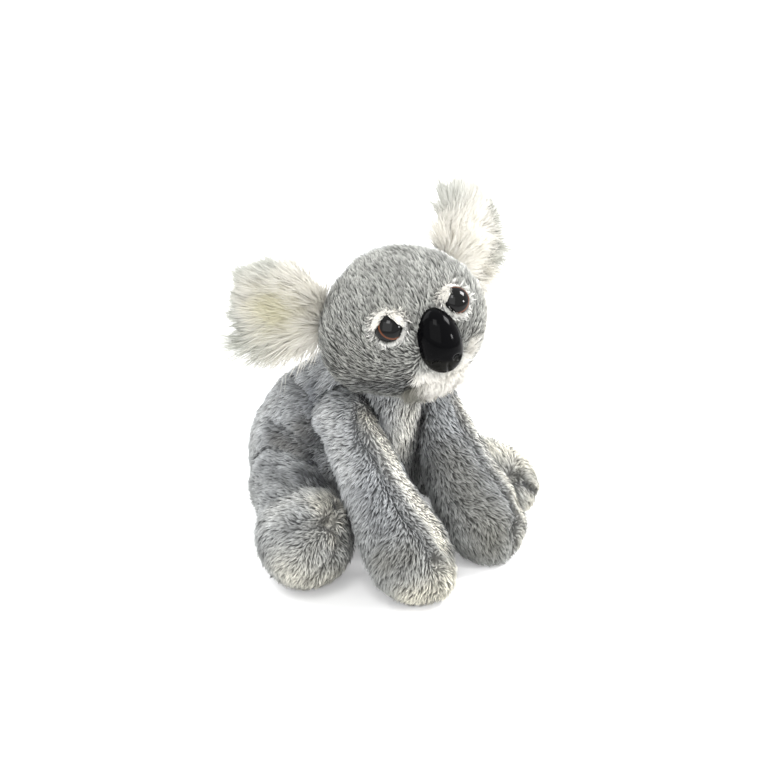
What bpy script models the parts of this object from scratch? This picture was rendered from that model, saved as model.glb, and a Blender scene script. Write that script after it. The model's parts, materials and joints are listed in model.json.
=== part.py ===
"""A sitting plush koala at its real size: sewn skins, their filling, safety eyes and nose, and its seams.

Units are metres and +Z is up. The koala faces -Y and its own left side is at +X. The origin is the
middle of the flat that it sits on. Each soft form is a row of rings along a smooth spine: the
skin is the form less the same form drawn in by its wall, and the filling lies inside it. A flat collar
and balls, each round its joint's own axis, part the pieces that move.
"""

import math
from dataclasses import dataclass

import bmesh
import bpy
import numpy as np
from mathutils import Matrix, Vector
from mathutils.bvhtree import BVHTree

MM = 0.001

# Clearances and walls
GAP = 0.3 * MM
OVERRUN = 12.0 * MM
SKIN_WALL = 1.8 * MM
FLOOR_FLAT = 0.5 * MM
PATCH_THICKNESS = 1.0 * MM
LIMB_GAP = 1.4 * MM

# Body: a pear that leans forward from the rump to the collar of the neck
RUMP_HEIGHT = 26.0 * MM
CHEST_Y = -20.0 * MM
CHEST_HEIGHT = 62.0 * MM
BODY_HALF_WIDTH = 43.0 * MM
BODY_HALF_DEPTH = 40.0 * MM
PELLET_LEVEL = 30.0 * MM

# Neck: the collar where the head is sewn on, and the axis that the head turns about
NECK_Y = -36.0 * MM
NECK_HEIGHT = 87.0 * MM
NECK_LEAN_DEG = 24.0

# Head: its middle, its half sizes, and how it is held
HEAD_Y = -49.0 * MM
HEAD_HEIGHT = 112.5 * MM
HEAD_HALF_WIDTH = 37.5 * MM
HEAD_HALF_DEPTH = 35.5 * MM
HEAD_HALF_HEIGHT = 33.0 * MM
HEAD_TURN_DEG = 16.0
HEAD_TILT_DEG = 14.0
HEAD_LIFT_DEG = 1.0

# Arms: the shoulder ball and where the paw lies
SHOULDER_X = 23.0 * MM
SHOULDER_Y = -35.0 * MM
SHOULDER_HEIGHT = 68.0 * MM
SHOULDER_RADIUS = 13.5 * MM
ARM_HALF_WIDTH = 18.8 * MM
ARM_HALF_THICKNESS = 16.5 * MM
ELBOW_DROP = 3.0 * MM
PAW_RIGHT_X = 23.5 * MM
PAW_RIGHT_REACH = 100.0 * MM
PAW_LEFT_X = 23.0 * MM
PAW_LEFT_REACH = 91.0 * MM
ARM_MOUTH_RADIUS = 8.0 * MM

# Legs: the hip ball and where the foot lies
HIP_X = 30.0 * MM
HIP_Y = -10.0 * MM
HIP_HEIGHT = 24.5 * MM
HIP_RADIUS = 23.0 * MM
FOOT_RIGHT_X = 65.5 * MM
FOOT_RIGHT_REACH = 66.0 * MM
FOOT_LEFT_X = 65.0 * MM
FOOT_LEFT_REACH = 69.0 * MM
FOOT_HALF_WIDTH = 22.0 * MM
FOOT_HALF_HEIGHT = 20.5 * MM
LEFT_FOOT_SHARE = 0.87
LEG_MOUTH_RADIUS = 12.0 * MM

# Ears: the way to the root from the head's middle, and the two pads, flat where they are sewn together
EAR_SIDE_DEG = 119.0
EAR_CLIMB_DEG = 11.0
EAR_AXIS_RISE = 1.4 * MM
EAR_ROOT_HALF = 10.0 * MM
EAR_ROOT_RADIUS = 2.4 * MM
EAR_RADIUS = 18.5 * MM
EAR_OUT = 18.5 * MM
EAR_UP = 4.0 * MM
EAR_FRONT_THICKNESS = 4.4 * MM
EAR_BACK_THICKNESS = 2.6 * MM
EAR_DOME_SHARES = ((1.0, 0.0), (0.97, 0.45), (0.86, 0.8), (0.6, 1.0))

# Eyes: where they look out of the head, their domes, shanks and toothed washers
EYE_SIDE_DEG = 29.5
EYE_RISE_DEG = 23.5
EYE_RADIUS = 6.0 * MM
EYE_HEIGHT = 4.2 * MM
SHANK_RADIUS = 1.7 * MM
SHANK_RIB = 0.4 * MM
SHANK_PITCH = 1.5 * MM
SHANK_RIBS = 6
EYE_WASHER_RADIUS = 5.4 * MM
WASHER_THICKNESS = 1.0 * MM
WASHER_TEETH = 6
TOOTH_POINTS = 2
TOOTH_LENGTH = 1.2 * MM
EYE_EDGE = 0.6 * MM
ALMOND_CORNER = 1.3
EYE_PATCH_HALF_WIDTH = 8.8 * MM
EYE_PATCH_HALF_HEIGHT = 7.0 * MM
EYE_PATCH_TURN_DEG = 20.0

# Nose and chin
NOSE_HALF_WIDTH = 9.4 * MM
NOSE_HALF_HEIGHT = 14.6 * MM
NOSE_HALF_DEPTH = 9.5 * MM
NOSE_RISE_DEG = 7.0
NOSE_SINK = 3.0 * MM
NOSE_WASHER_RADIUS = 7.4 * MM
NOSTRIL_RADIUS = 2.2 * MM
NOSTRIL_SIDE = 4.0 * MM
NOSTRIL_DROP = 8.6 * MM
NOSTRIL_LENGTH = 2.8 * MM
NOSTRIL_LEAN_DEG = 20.0
GROOVE_RADIUS = 0.7 * MM
GROOVE_LENGTH = 3.4 * MM
GROOVE_DROP = 11.4 * MM
GROOVE_TIP_DEG = 45.0
CHIN_HALF_WIDTH = 15.0 * MM
CHIN_HALF_HEIGHT = 9.5 * MM
CHIN_DROP_DEG = 42.0

# Profiles: the place along the spine, then the width and thickness there, all as shares
RUMP_ROUND_SHARE = 0.18
COLLAR_ROUND_SHARE = 0.08
ARM_TIP_SHARE = 0.24
LEG_TIP_SHARE = 0.3
HALF_SHARE = 0.5
STEP_SHARE = 0.01
BODY_SHARES = (
    (0.00, 0.70, 0.70),
    (0.18, 0.98, 0.98),
    (0.36, 1.01, 1.01),
    (0.56, 0.84, 0.87),
    (0.74, 0.58, 0.66),
    (0.88, 0.43, 0.49),
    (1.00, 0.41, 0.45),
)
HEAD_SHARES = (
    (0.00, 0.84, 0.84),
    (0.22, 0.98, 0.97),
    (0.42, 1.00, 1.00),
    (0.62, 0.97, 0.98),
    (0.82, 0.90, 0.92),
    (1.00, 0.82, 0.86),
)
ARM_SHARES = (
    (0.00, 0.70, 0.80),
    (0.20, 0.70, 0.80),
    (0.42, 0.78, 0.83),
    (0.62, 0.95, 0.92),
    (0.82, 1.08, 1.00),
    (1.00, 1.06, 0.96),
)
LEG_SHARES = (
    (0.00, 1.00, 1.00),
    (0.30, 1.00, 1.00),
    (0.48, 0.88, 0.88),
    (0.72, 1.00, 1.00),
    (1.00, 0.98, 0.98),
)

# Facets
BODY_RINGS = 16
BODY_SIDES = 24
HEAD_RINGS = 14
HEAD_SIDES = 24
ARM_RINGS = 14
ARM_SIDES = 16
LEG_RINGS = 12
LEG_SIDES = 16
BALL_RINGS = 10
LIMB_SETTLES = 4
BALL_SIDES = 16
EYE_SIDES = 16
EYE_RINGS = 5
EGG_SIDES = 18
EGG_RINGS = 10
PATCH_SIDES = 18
EAR_SIDES = 20
EAR_ROOT_STEPS = 3
SHARP_DEG = 40.0
INNER_SHARE = 0.65
ROOT_SHARE = 0.93
SMALL_EGG_SIDES = 10
SMALL_EGG_RINGS = 6

# The koala's two sides: a name and the sign of X
HANDS = (("right", -1), ("left", 1))

# Finishes as they show
PLUSH_ROUGHNESS = 0.95
WASHER_ROUGHNESS = 0.5
GLOSS = 0.08
GREY_PLUSH = (0.33, 0.35, 0.37)
WHITE_PLUSH = (0.80, 0.78, 0.72)
FIBRE_FILL = (0.88, 0.87, 0.84)
PELLET_CLOTH = (0.72, 0.70, 0.66)
EYE_BROWN = (0.07, 0.03, 0.015)
NOSE_BLACK = (0.006, 0.006, 0.007)
WASHER_WHITE = (0.75, 0.75, 0.74)


def clear_scene():
    """Removes every object that the file opened with."""
    for thing in list(bpy.data.objects):
        bpy.data.objects.remove(thing)


def finish(name, colour, roughness):
    """A Principled material by its name, made once."""
    made = bpy.data.materials.get(name)
    if made:
        return made
    made = bpy.data.materials.new(name)
    made.use_nodes = True
    made.diffuse_color = (*colour, 1)
    surface = made.node_tree.nodes["Principled BSDF"]
    surface.inputs["Base Color"].default_value = (*colour, 1)
    surface.inputs["Roughness"].default_value = roughness
    surface.inputs["Metallic"].default_value = 0
    return made


def plush(name, colour):
    return finish(name, colour, PLUSH_ROUGHNESS)


def plastic(name, colour, roughness):
    return finish(name, colour, roughness)


def through(knots, values, at):
    """Values on a smooth curve through the rows of a table, at the places asked for."""
    slopes = np.gradient(values, knots, axis=0)
    row = np.clip(np.searchsorted(knots, at) - 1, 0, len(knots) - 2)
    span = (knots[row + 1] - knots[row])[:, None]
    share = (at - knots[row])[:, None] / span
    rest = 1 - share
    start = values[row] * (1 + 2 * share) * rest**2 + slopes[row] * span * share * rest**2
    end = values[row + 1] * (1 + 2 * rest) * share**2 - slopes[row + 1] * span * rest * share**2
    return start + end


@dataclass
class SoftForm:
    """A stuffed form: elliptic rings on a smooth spine, rounded off over a share of it at each end.

    Where it has a root ball, the form starts as that ball and swells into its own profile past it.
    """

    spine: list
    shares: tuple
    half_width: float
    half_thickness: float
    side: Vector
    start_round_share: float
    end_round_share: float
    ring_count: int
    side_count: int
    root_radius: float = 0

    def sections(self, ring_count, grow):
        """The middle, direction and two half sizes of each section from pole to pole."""
        steps = (1 - np.cos(np.linspace(0, math.pi, ring_count + 2))) / 2
        points = np.array([tuple(point) for point in self.spine])
        stretches = np.linalg.norm(np.diff(points, axis=0), axis=1)
        knots = np.concatenate([[0], np.cumsum(stretches)]) / stretches.sum()
        drawn_in = -grow / stretches.sum()
        along = drawn_in + steps * (1 - 2 * drawn_in)
        middles = through(knots, points, along)
        ahead = through(knots, points, along + STEP_SHARE) - through(knots, points, along - STEP_SHARE)
        table = np.array(self.shares)
        sizes = through(table[:, 0], table[:, 1:], steps) * (self.half_width, self.half_thickness)
        if self.root_radius:
            swell = np.clip(steps / self.start_round_share - 1, 0, 1)[:, None]
            sizes = self.root_radius + (sizes - self.root_radius) * swell**2 * (3 - 2 * swell)
        start = np.clip(1 - steps / self.start_round_share, 0, 1)
        end = np.clip(1 - (1 - steps) / self.end_round_share, 0, 1)
        rounding = np.sqrt((1 - start**2) * (1 - end**2))[:, None]
        return middles, ahead, (sizes + grow) * rounding

    def mesh(self, grow=0.0, detail=1.0):
        """The closed form, grown or drawn in by a length, as a bmesh."""
        ring_count = round(self.ring_count * detail)
        side_count = round(self.side_count * detail)
        middles, ahead, sizes = self.sections(ring_count, grow)
        turns = np.linspace(0, 2 * math.pi, side_count, endpoint=False)
        built = bmesh.new()
        loops = []
        for index in range(1, ring_count + 1):
            forward = Vector(ahead[index]).normalized()
            across = (self.side - forward * self.side.dot(forward)).normalized()
            wide = across * sizes[index][0]
            thick = forward.cross(across) * sizes[index][1]
            middle = Vector(middles[index])
            ring = [middle + wide * math.cos(turn) + thick * math.sin(turn) for turn in turns]
            loops.append([built.verts.new(point) for point in ring])
        start = built.verts.new(middles[0])
        end = built.verts.new(middles[-1])
        for index in range(side_count):
            after = (index + 1) % side_count
            built.faces.new((start, loops[0][after], loops[0][index]))
            built.faces.new((end, loops[-1][index], loops[-1][after]))
            for lower, upper in zip(loops, loops[1:]):
                built.faces.new((lower[index], lower[after], upper[after], upper[index]))
        bmesh.ops.triangulate(built, faces=built.faces)
        bmesh.ops.recalc_face_normals(built, faces=built.faces)
        return built


def neck_frame():
    """The collar's plane: its middle, with +Z along the axis that the head turns about."""
    lean = Matrix.Rotation(math.radians(NECK_LEAN_DEG), 4, "X")
    return Matrix.Translation((0, NECK_Y, NECK_HEIGHT)) @ lean


def head_frame():
    """The head's middle, with +Z to its crown and -Y to its nose: turned, lifted and tilted."""
    turn = Matrix.Rotation(-math.radians(HEAD_TURN_DEG), 4, "Z")
    lift = Matrix.Rotation(-math.radians(HEAD_LIFT_DEG), 4, "X")
    tilt = Matrix.Rotation(-math.radians(HEAD_TILT_DEG), 4, "Y")
    return Matrix.Translation((0, HEAD_Y, HEAD_HEIGHT)) @ turn @ lift @ tilt


def body_form():
    """The body from under its rump to a little past the collar."""
    collar = neck_frame() @ Vector((0, 0, OVERRUN))
    return SoftForm(
        spine=[(0, 0, -FLOOR_FLAT), (0, 0, RUMP_HEIGHT), (0, CHEST_Y, CHEST_HEIGHT), collar],
        shares=BODY_SHARES,
        half_width=BODY_HALF_WIDTH,
        half_thickness=BODY_HALF_DEPTH,
        side=Vector((1, 0, 0)),
        start_round_share=RUMP_ROUND_SHARE,
        end_round_share=COLLAR_ROUND_SHARE,
        ring_count=BODY_RINGS,
        side_count=BODY_SIDES,
    )


def head_form():
    """The head from under its chin to its crown."""
    frame = head_frame()
    levels = (-HEAD_HALF_HEIGHT, 0, HEAD_HALF_HEIGHT)
    return SoftForm(
        spine=[frame @ Vector((0, 0, level)) for level in levels],
        shares=HEAD_SHARES,
        half_width=HEAD_HALF_WIDTH,
        half_thickness=HEAD_HALF_DEPTH,
        side=frame.to_3x3() @ Vector((1, 0, 0)),
        start_round_share=HALF_SHARE,
        end_round_share=HALF_SHARE,
        ring_count=HEAD_RINGS,
        side_count=HEAD_SIDES,
    )


def arm_form(shoulder, paw):
    """The arm, from behind its shoulder ball to the tip of its paw."""
    ahead = (paw - shoulder).normalized()
    length = (paw - shoulder).length + SHOULDER_RADIUS
    elbow = shoulder.lerp(paw, HALF_SHARE) - Vector((0, 0, ELBOW_DROP))
    return SoftForm(
        spine=[shoulder - ahead * SHOULDER_RADIUS, shoulder, elbow, paw],
        shares=ARM_SHARES,
        half_width=ARM_HALF_WIDTH,
        half_thickness=ARM_HALF_THICKNESS,
        side=Vector((1, 0, 0)),
        start_round_share=SHOULDER_RADIUS / length,
        end_round_share=ARM_TIP_SHARE,
        ring_count=ARM_RINGS,
        side_count=ARM_SIDES,
        root_radius=SHOULDER_RADIUS * ROOT_SHARE,
    )


def leg_form(hip, foot):
    """The leg, from behind its hip ball to the sole of its foot, the left one pressed smaller."""
    foot_share = LEFT_FOOT_SHARE if foot.x > 0 else 1
    ahead = (foot - hip).normalized()
    length = (foot - hip).length + HIP_RADIUS
    return SoftForm(
        spine=[hip - ahead * HIP_RADIUS, hip, hip.lerp(foot, HALF_SHARE), foot],
        shares=LEG_SHARES,
        half_width=FOOT_HALF_WIDTH * foot_share,
        half_thickness=FOOT_HALF_HEIGHT * foot_share,
        side=ahead.cross(Vector((0, 0, 1))).normalized(),
        start_round_share=HIP_RADIUS / length,
        end_round_share=LEG_TIP_SHARE,
        ring_count=LEG_RINGS,
        side_count=LEG_SIDES,
        root_radius=HIP_RADIUS * ROOT_SHARE,
    )


def settled(form_of, root, tip):
    """A limb's form, its tip raised or lowered until its lowest point lies the floor's flat below z = 0."""
    for _ in range(LIMB_SETTLES):
        built = form_of(root, tip).mesh()
        lowest = min(vertex.co.z for vertex in built.verts)
        built.free()
        tip = tip - Vector((0, 0, lowest + FLOOR_FLAT))
    return form_of(root, tip)


def add_object(name, built):
    data = bpy.data.meshes.new(name)
    built.to_mesh(data)
    built.free()
    thing = bpy.data.objects.new(name, data)
    bpy.context.scene.collection.objects.link(thing)
    return thing


def world_point(joint):
    point = joint.location.copy()
    if joint.parent:
        point += world_point(joint.parent)
    return point


def joint_at(name, point, parent=None):
    """An empty on a joint's axis, which carries the pieces that turn there."""
    empty = bpy.data.objects.new(name, None)
    bpy.context.scene.collection.objects.link(empty)
    empty.empty_display_size = SHOULDER_RADIUS
    empty.parent = parent
    empty.location = point - world_point(parent) if parent else point
    return empty


def piece(name, built, material, joint=None):
    """A piece of the koala from a mesh in world places, with its origin on its joint."""
    if joint:
        bmesh.ops.translate(built, verts=built.verts, vec=-world_point(joint))
    thing = add_object(name, built)
    thing.data.materials.append(material)
    thing.data.shade_smooth()
    thing.data.set_sharp_from_angle(angle=math.radians(SHARP_DEG))
    thing.parent = joint
    return thing


def guide(name, built):
    """A cutter: shown as a wire, and no piece of the koala."""
    thing = add_object(name, built)
    thing.hide_render = True
    thing.display_type = "WIRE"
    return thing


def combine(thing, operation, *others):
    for other in others:
        modifier = thing.modifiers.new(other.name, "BOOLEAN")
        modifier.operation = operation
        modifier.object = other


def cut(thing, *cutters):
    combine(thing, "DIFFERENCE", *cutters)


def boxed(size, frame):
    """A box by its three sizes, standing on its frame's origin."""
    built = bmesh.new()
    bmesh.ops.create_cube(built, size=1)
    bmesh.ops.translate(built, verts=built.verts, vec=(0, 0, HALF_SHARE))
    bmesh.ops.scale(built, verts=built.verts, vec=size)
    bmesh.ops.transform(built, verts=built.verts, matrix=frame)
    return built


def lofted(loops, ends, frame):
    """A closed solid through loops of points: between its two end points, or back to the first loop."""
    built = bmesh.new()
    rows = [[built.verts.new(point) for point in loop] for loop in loops]
    count = len(loops[0])
    pairs = list(zip(rows, rows[1:]))
    if ends:
        first, last = (built.verts.new(end) for end in ends)
        for index in range(count):
            after = (index + 1) % count
            built.faces.new((first, rows[0][index], rows[0][after]))
            built.faces.new((last, rows[-1][after], rows[-1][index]))
    else:
        pairs.append((rows[-1], rows[0]))
    for upper, lower in pairs:
        for index in range(count):
            after = (index + 1) % count
            built.faces.new((upper[index], lower[index], lower[after], upper[after]))
    bmesh.ops.recalc_face_normals(built, faces=built.faces)
    bmesh.ops.transform(built, verts=built.verts, matrix=frame)
    return built


def turned(outline, frame, sides):
    """A round solid from its (radius, level) outline, which starts and ends on the frame's Z axis."""
    turns = [2 * math.pi * index / sides for index in range(sides)]
    loops = [
        [(radius * math.cos(turn), radius * math.sin(turn), level) for turn in turns]
        for radius, level in outline[1:-1]
    ]
    return lofted(loops, ((0, 0, outline[0][1]), (0, 0, outline[-1][1])), frame)


def rod(radius, top, bottom, frame, sides):
    return turned([(0, top), (radius, top), (radius, bottom), (0, bottom)], frame, sides)


def almond(half_width, half_height, corner, top, bottom, frame):
    """An upright prism with an eye-shaped outline; a corner of 1 makes it a plain oval."""
    outline = []
    for index in range(PATCH_SIDES):
        turn = 2 * math.pi * (index + HALF_SHARE) / PATCH_SIDES
        height = math.copysign(abs(math.sin(turn)) ** corner, math.sin(turn))
        outline.append((half_width * math.cos(turn), half_height * height))
    loops = [[(x, y, level) for x, y in outline] for level in (top, bottom)]
    return lofted(loops, ((0, 0, top), (0, 0, bottom)), frame)


def egg(half_sizes, frame, sides, rings):
    """An egg-shaped solid by its three half sizes."""
    built = bmesh.new()
    bmesh.ops.create_uvsphere(built, u_segments=sides, v_segments=rings, radius=1)
    bmesh.ops.scale(built, verts=built.verts, vec=half_sizes)
    bmesh.ops.transform(built, verts=built.verts, matrix=frame)
    return built


def clear_radius(radius, sides):
    """The radius of a faceted cutter whose flats still clear a round piece by the gap."""
    return (radius + GAP) / math.cos(math.pi / sides)


def ball_round(joint, radius, detail=1.0):
    """A ball round a joint."""
    built = bmesh.new()
    sides = round(BALL_SIDES * detail)
    rings = round(BALL_RINGS * detail)
    bmesh.ops.create_uvsphere(built, u_segments=sides, v_segments=rings, radius=radius)
    bmesh.ops.translate(built, verts=built.verts, vec=world_point(joint))
    return built


def socket(name, radius, joint):
    """A ball-shaped cutter whose flats clear a limb's root ball by the gap."""
    flats = math.cos(math.pi / BALL_SIDES) * math.cos(math.pi / BALL_RINGS / 2)
    return guide(name, ball_round(joint, (radius + GAP) / flats))


def frame_on(point, outward, up):
    """A frame at a point with +Z outward and +Y as near to a direction as it can be."""
    outward = outward.normalized()
    sideways = up.cross(outward).normalized()
    upward = outward.cross(sideways)
    axes = Matrix((sideways, upward, outward)).transposed().to_4x4()
    return Matrix.Translation(point) @ axes


def seat_on_head(side_deg, rise_deg):
    """The frame on the head's surface in a direction from its middle, in degrees from the nose and up."""
    side = math.radians(side_deg)
    rise = math.radians(rise_deg)
    level = math.cos(rise)
    way = Vector((level * math.sin(side), -level * math.cos(side), math.sin(rise)))
    frame = head_frame()
    built = head_form().mesh()
    tree = BVHTree.FromBMesh(built)
    built.free()
    point, normal, _, _ = tree.ray_cast(frame.translation, frame.to_3x3() @ way)
    return frame_on(point, normal, frame.to_3x3() @ Vector((0, 0, 1)))


def shank_outline(top):
    """The ribbed stem from a level down to its tip, as (radius, level) rows."""
    rows = []
    for rib in range(SHANK_RIBS):
        level = top - SHANK_PITCH * rib
        rows += [(SHANK_RADIUS, level), (SHANK_RADIUS + SHANK_RIB, level - SHANK_PITCH / 2)]
    tip = top - SHANK_PITCH * SHANK_RIBS
    return rows + [(SHANK_RADIUS, tip), (0, tip)]


def washer_top(radius, frame):
    """The level at which a flat washer's rim clears the hollow inside of the head's skin."""
    built = head_form().mesh(-SKIN_WALL, INNER_SHARE)
    tree = BVHTree.FromBMesh(built)
    built.free()
    to_frame = frame.inverted()
    outward = frame.to_3x3() @ Vector((0, 0, 1))
    levels = []
    for index in range(WASHER_TEETH * 2):
        turn = math.pi * index / WASHER_TEETH
        start = frame @ Vector((radius * math.cos(turn), radius * math.sin(turn), -HEAD_HALF_HEIGHT / 2))
        levels.append((to_frame @ tree.ray_cast(start, outward)[0]).z)
    return min(levels) - GAP


def add_washer(name, radius, frame, joint):
    """A toothed washer: a flat ring whose bore is slit into teeth that bite on the shank."""
    bore = SHANK_RADIUS + SHANK_RIB + GAP
    top = washer_top(radius, frame)
    bottom = top - WASHER_THICKNESS
    bores = []
    for _ in range(WASHER_TEETH):
        bores += [bore] * TOOTH_POINTS + [bore + TOOTH_LENGTH] * 2
    count = len(bores)
    rims = [radius] * count
    loops = []
    for radii, level in ((rims, top), (rims, bottom), (bores, bottom), (bores, top)):
        turns = [2 * math.pi * index / count for index in range(count)]
        loops.append([(r * math.cos(t), r * math.sin(t), level) for r, t in zip(radii, turns)])
    material = plastic("washer_plastic", WASHER_WHITE, WASHER_ROUGHNESS)
    return piece(name, lofted(loops, None, frame), material, joint)


def shank_guides(name, washer_radius, shank_top, frame):
    """The bore through the skin for a shank, and the pocket in the filling for its washer and tip."""
    stem = clear_radius(SHANK_RADIUS + SHANK_RIB, EYE_SIDES)
    wide = clear_radius(washer_radius + GAP, EYE_SIDES)
    floor = washer_top(washer_radius, frame) - WASHER_THICKNESS - GAP
    tip = shank_top - SHANK_PITCH * SHANK_RIBS - GAP
    rows = [(0, OVERRUN), (wide, OVERRUN), (wide, floor), (stem, floor), (stem, tip), (0, tip)]
    bore = guide(f"{name}_bore", rod(stem, OVERRUN, floor, frame, EYE_SIDES))
    return bore, guide(f"{name}_pocket", turned(rows, frame, EYE_SIDES))


def build_body(shoulders, hips):
    """The body's skin, its filling and its bag of pellets, with a socket for each limb's ball."""
    form = body_form()
    span = 3 * PAW_RIGHT_REACH
    floor = guide("below_floor", boxed((span, span, OVERRUN), Matrix.Translation((0, 0, -OVERRUN))))
    collar = guide("above_collar", boxed((span, span, 2 * OVERRUN), neck_frame()))
    shoulder_sockets = [socket(f"{joint.name}_socket", SHOULDER_RADIUS, joint) for joint in shoulders]
    hip_sockets = [socket(f"{joint.name}_socket", HIP_RADIUS, joint) for joint in hips]
    grey = plush("grey_plush", GREY_PLUSH)
    skin = piece("body_skin", form.mesh(), grey)
    hollow = guide("body_hollow", form.mesh(-SKIN_WALL, INNER_SHARE))
    cut(skin, hollow, floor, collar, *shoulder_sockets, *hip_sockets)
    fill = piece("body_stuffing", form.mesh(-SKIN_WALL - GAP, INNER_SHARE), plush("fibre_fill", FIBRE_FILL))
    low = PELLET_LEVEL + GAP + OVERRUN
    under_fill = guide("under_fill", boxed((span, span, low), Matrix.Translation((0, 0, -OVERRUN))))
    cut(fill, under_fill, collar, *shoulder_sockets, *hip_sockets)
    bag = piece("pellet_bag", form.mesh(-SKIN_WALL - GAP, INNER_SHARE), plush("bag_cloth", PELLET_CLOTH))
    level = Matrix.Translation((0, 0, PELLET_LEVEL))
    over_bag = guide("over_bag", boxed((span, span, NECK_HEIGHT), level))
    cut(bag, over_bag, *hip_sockets)
    return floor


def shape_limb(thing, joint, ball_radius, drawn_in, detail):
    """Cuts a limb's form clear of the body and joins its root ball to it, both drawn in by a length."""
    clearance = guide(f"{thing.name}_clearance", body_form().mesh(LIMB_GAP + drawn_in))
    ball = guide(f"{thing.name}_ball", ball_round(joint, ball_radius - drawn_in, detail))
    cut(thing, clearance)
    combine(thing, "UNION", ball)


def build_limb(name, form, joint, ball_radius, mouth_radius, floor):
    """A limb's skin, hollow and open at its root ball, and its filling."""
    root = world_point(joint)
    backward = frame_on(root, Vector(form.spine[0]) - root, Vector((0, 0, 1)))
    mouth = guide(f"{name}_mouth", rod(mouth_radius, ball_radius + OVERRUN, 0, backward, BALL_SIDES))
    hollow = guide(f"{name}_hollow", form.mesh(-SKIN_WALL, INNER_SHARE))
    shape_limb(hollow, joint, ball_radius, SKIN_WALL, INNER_SHARE)
    skin = piece(f"{name}_skin", form.mesh(), plush("grey_plush", GREY_PLUSH), joint)
    shape_limb(skin, joint, ball_radius, 0, 1)
    cut(skin, hollow, mouth, floor)
    inner = form.mesh(-SKIN_WALL - GAP, INNER_SHARE)
    filling = piece(f"{name}_stuffing", inner, plush("fibre_fill", FIBRE_FILL), joint)
    shape_limb(filling, joint, ball_radius, SKIN_WALL + 3 * GAP, INNER_SHARE)


def build_eye(side, hand, joint, head_over, head_under):
    """A safety eye on its white patch, and its washer behind the skin."""
    frame = seat_on_head(hand * EYE_SIDE_DEG, EYE_RISE_DEG)
    base = PATCH_THICKNESS + 2 * GAP
    arc = [math.pi / 2 * (1 - index / EYE_RINGS) for index in range(EYE_RINGS)]
    dome = [(EYE_RADIUS * math.cos(turn), base + EYE_EDGE + EYE_HEIGHT * math.sin(turn)) for turn in arc]
    edge = [(EYE_RADIUS, base + EYE_EDGE), (EYE_RADIUS - EYE_EDGE, base)]
    outline = dome + edge + shank_outline(base)
    brown = plastic("eye_brown", EYE_BROWN, GLOSS)
    piece(f"eye_{side}", turned(outline, frame, EYE_SIDES), brown, joint)
    add_washer(f"eye_washer_{side}", EYE_WASHER_RADIUS, frame, joint)
    bore, pocket = shank_guides(f"eye_{side}", EYE_WASHER_RADIUS, base, frame)
    lean = Matrix.Rotation(math.radians(hand * EYE_PATCH_TURN_DEG), 4, "Z")
    prism = almond(
        EYE_PATCH_HALF_WIDTH, EYE_PATCH_HALF_HEIGHT, ALMOND_CORNER, OVERRUN, -OVERRUN, frame @ lean
    )
    patch = piece(f"eye_patch_{side}", prism, plush("white_plush", WHITE_PLUSH), joint)
    combine(patch, "INTERSECT", head_over)
    cut(patch, head_under, bore)
    return bore, pocket


def build_nose(joint, head_under):
    """The moulded nose: an egg seated on the head, with nostrils, a groove and a ribbed shank."""
    frame = seat_on_head(0, NOSE_RISE_DEG)
    middle = frame @ Matrix.Translation((0, 0, -NOSE_SINK))
    half_sizes = Vector((NOSE_HALF_WIDTH, NOSE_HALF_HEIGHT, NOSE_HALF_DEPTH))
    black = plastic("nose_black", NOSE_BLACK, GLOSS)
    nose = piece("nose", egg(half_sizes, middle, EGG_SIDES, EGG_RINGS), black, joint)
    top = SHANK_RADIUS + GAP
    rows = [(0, top), (SHANK_RADIUS, top)] + shank_outline(0)
    shank = guide("nose_shank", turned(rows, frame, EYE_SIDES))
    cut(nose, head_under)
    combine(nose, "UNION", shank)
    for hand in (-1, 1):
        across = hand * NOSTRIL_SIDE / NOSE_HALF_WIDTH
        down = NOSTRIL_DROP / NOSE_HALF_HEIGHT
        rise = NOSE_HALF_DEPTH * math.sqrt(1 - across**2 - down**2)
        place = Matrix.Translation((hand * NOSTRIL_SIDE, -NOSTRIL_DROP, rise))
        lean = Matrix.Rotation(math.radians(hand * NOSTRIL_LEAN_DEG), 4, "Z")
        hole = (NOSTRIL_RADIUS, NOSTRIL_LENGTH, NOSTRIL_RADIUS)
        hollow = egg(hole, middle @ place @ lean, SMALL_EGG_SIDES, SMALL_EGG_RINGS)
        cut(nose, guide(f"nostril_{hand}", hollow))
    down = GROOVE_DROP / NOSE_HALF_HEIGHT
    place = Matrix.Translation((0, -GROOVE_DROP, NOSE_HALF_DEPTH * math.sqrt(1 - down**2)))
    tip = Matrix.Rotation(math.radians(GROOVE_TIP_DEG), 4, "X")
    groove = (GROOVE_RADIUS, GROOVE_LENGTH, GROOVE_RADIUS)
    cut(nose, guide("nose_groove", egg(groove, middle @ place @ tip, SMALL_EGG_SIDES, SMALL_EGG_RINGS)))
    add_washer("nose_washer", NOSE_WASHER_RADIUS, frame, joint)
    room = half_sizes + 2 * Vector((GAP, GAP, GAP))
    clear = guide("nose_clearance", egg(room, middle, EGG_SIDES, EGG_RINGS))
    return (*shank_guides("nose", NOSE_WASHER_RADIUS, 0, frame), clear)


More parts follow.
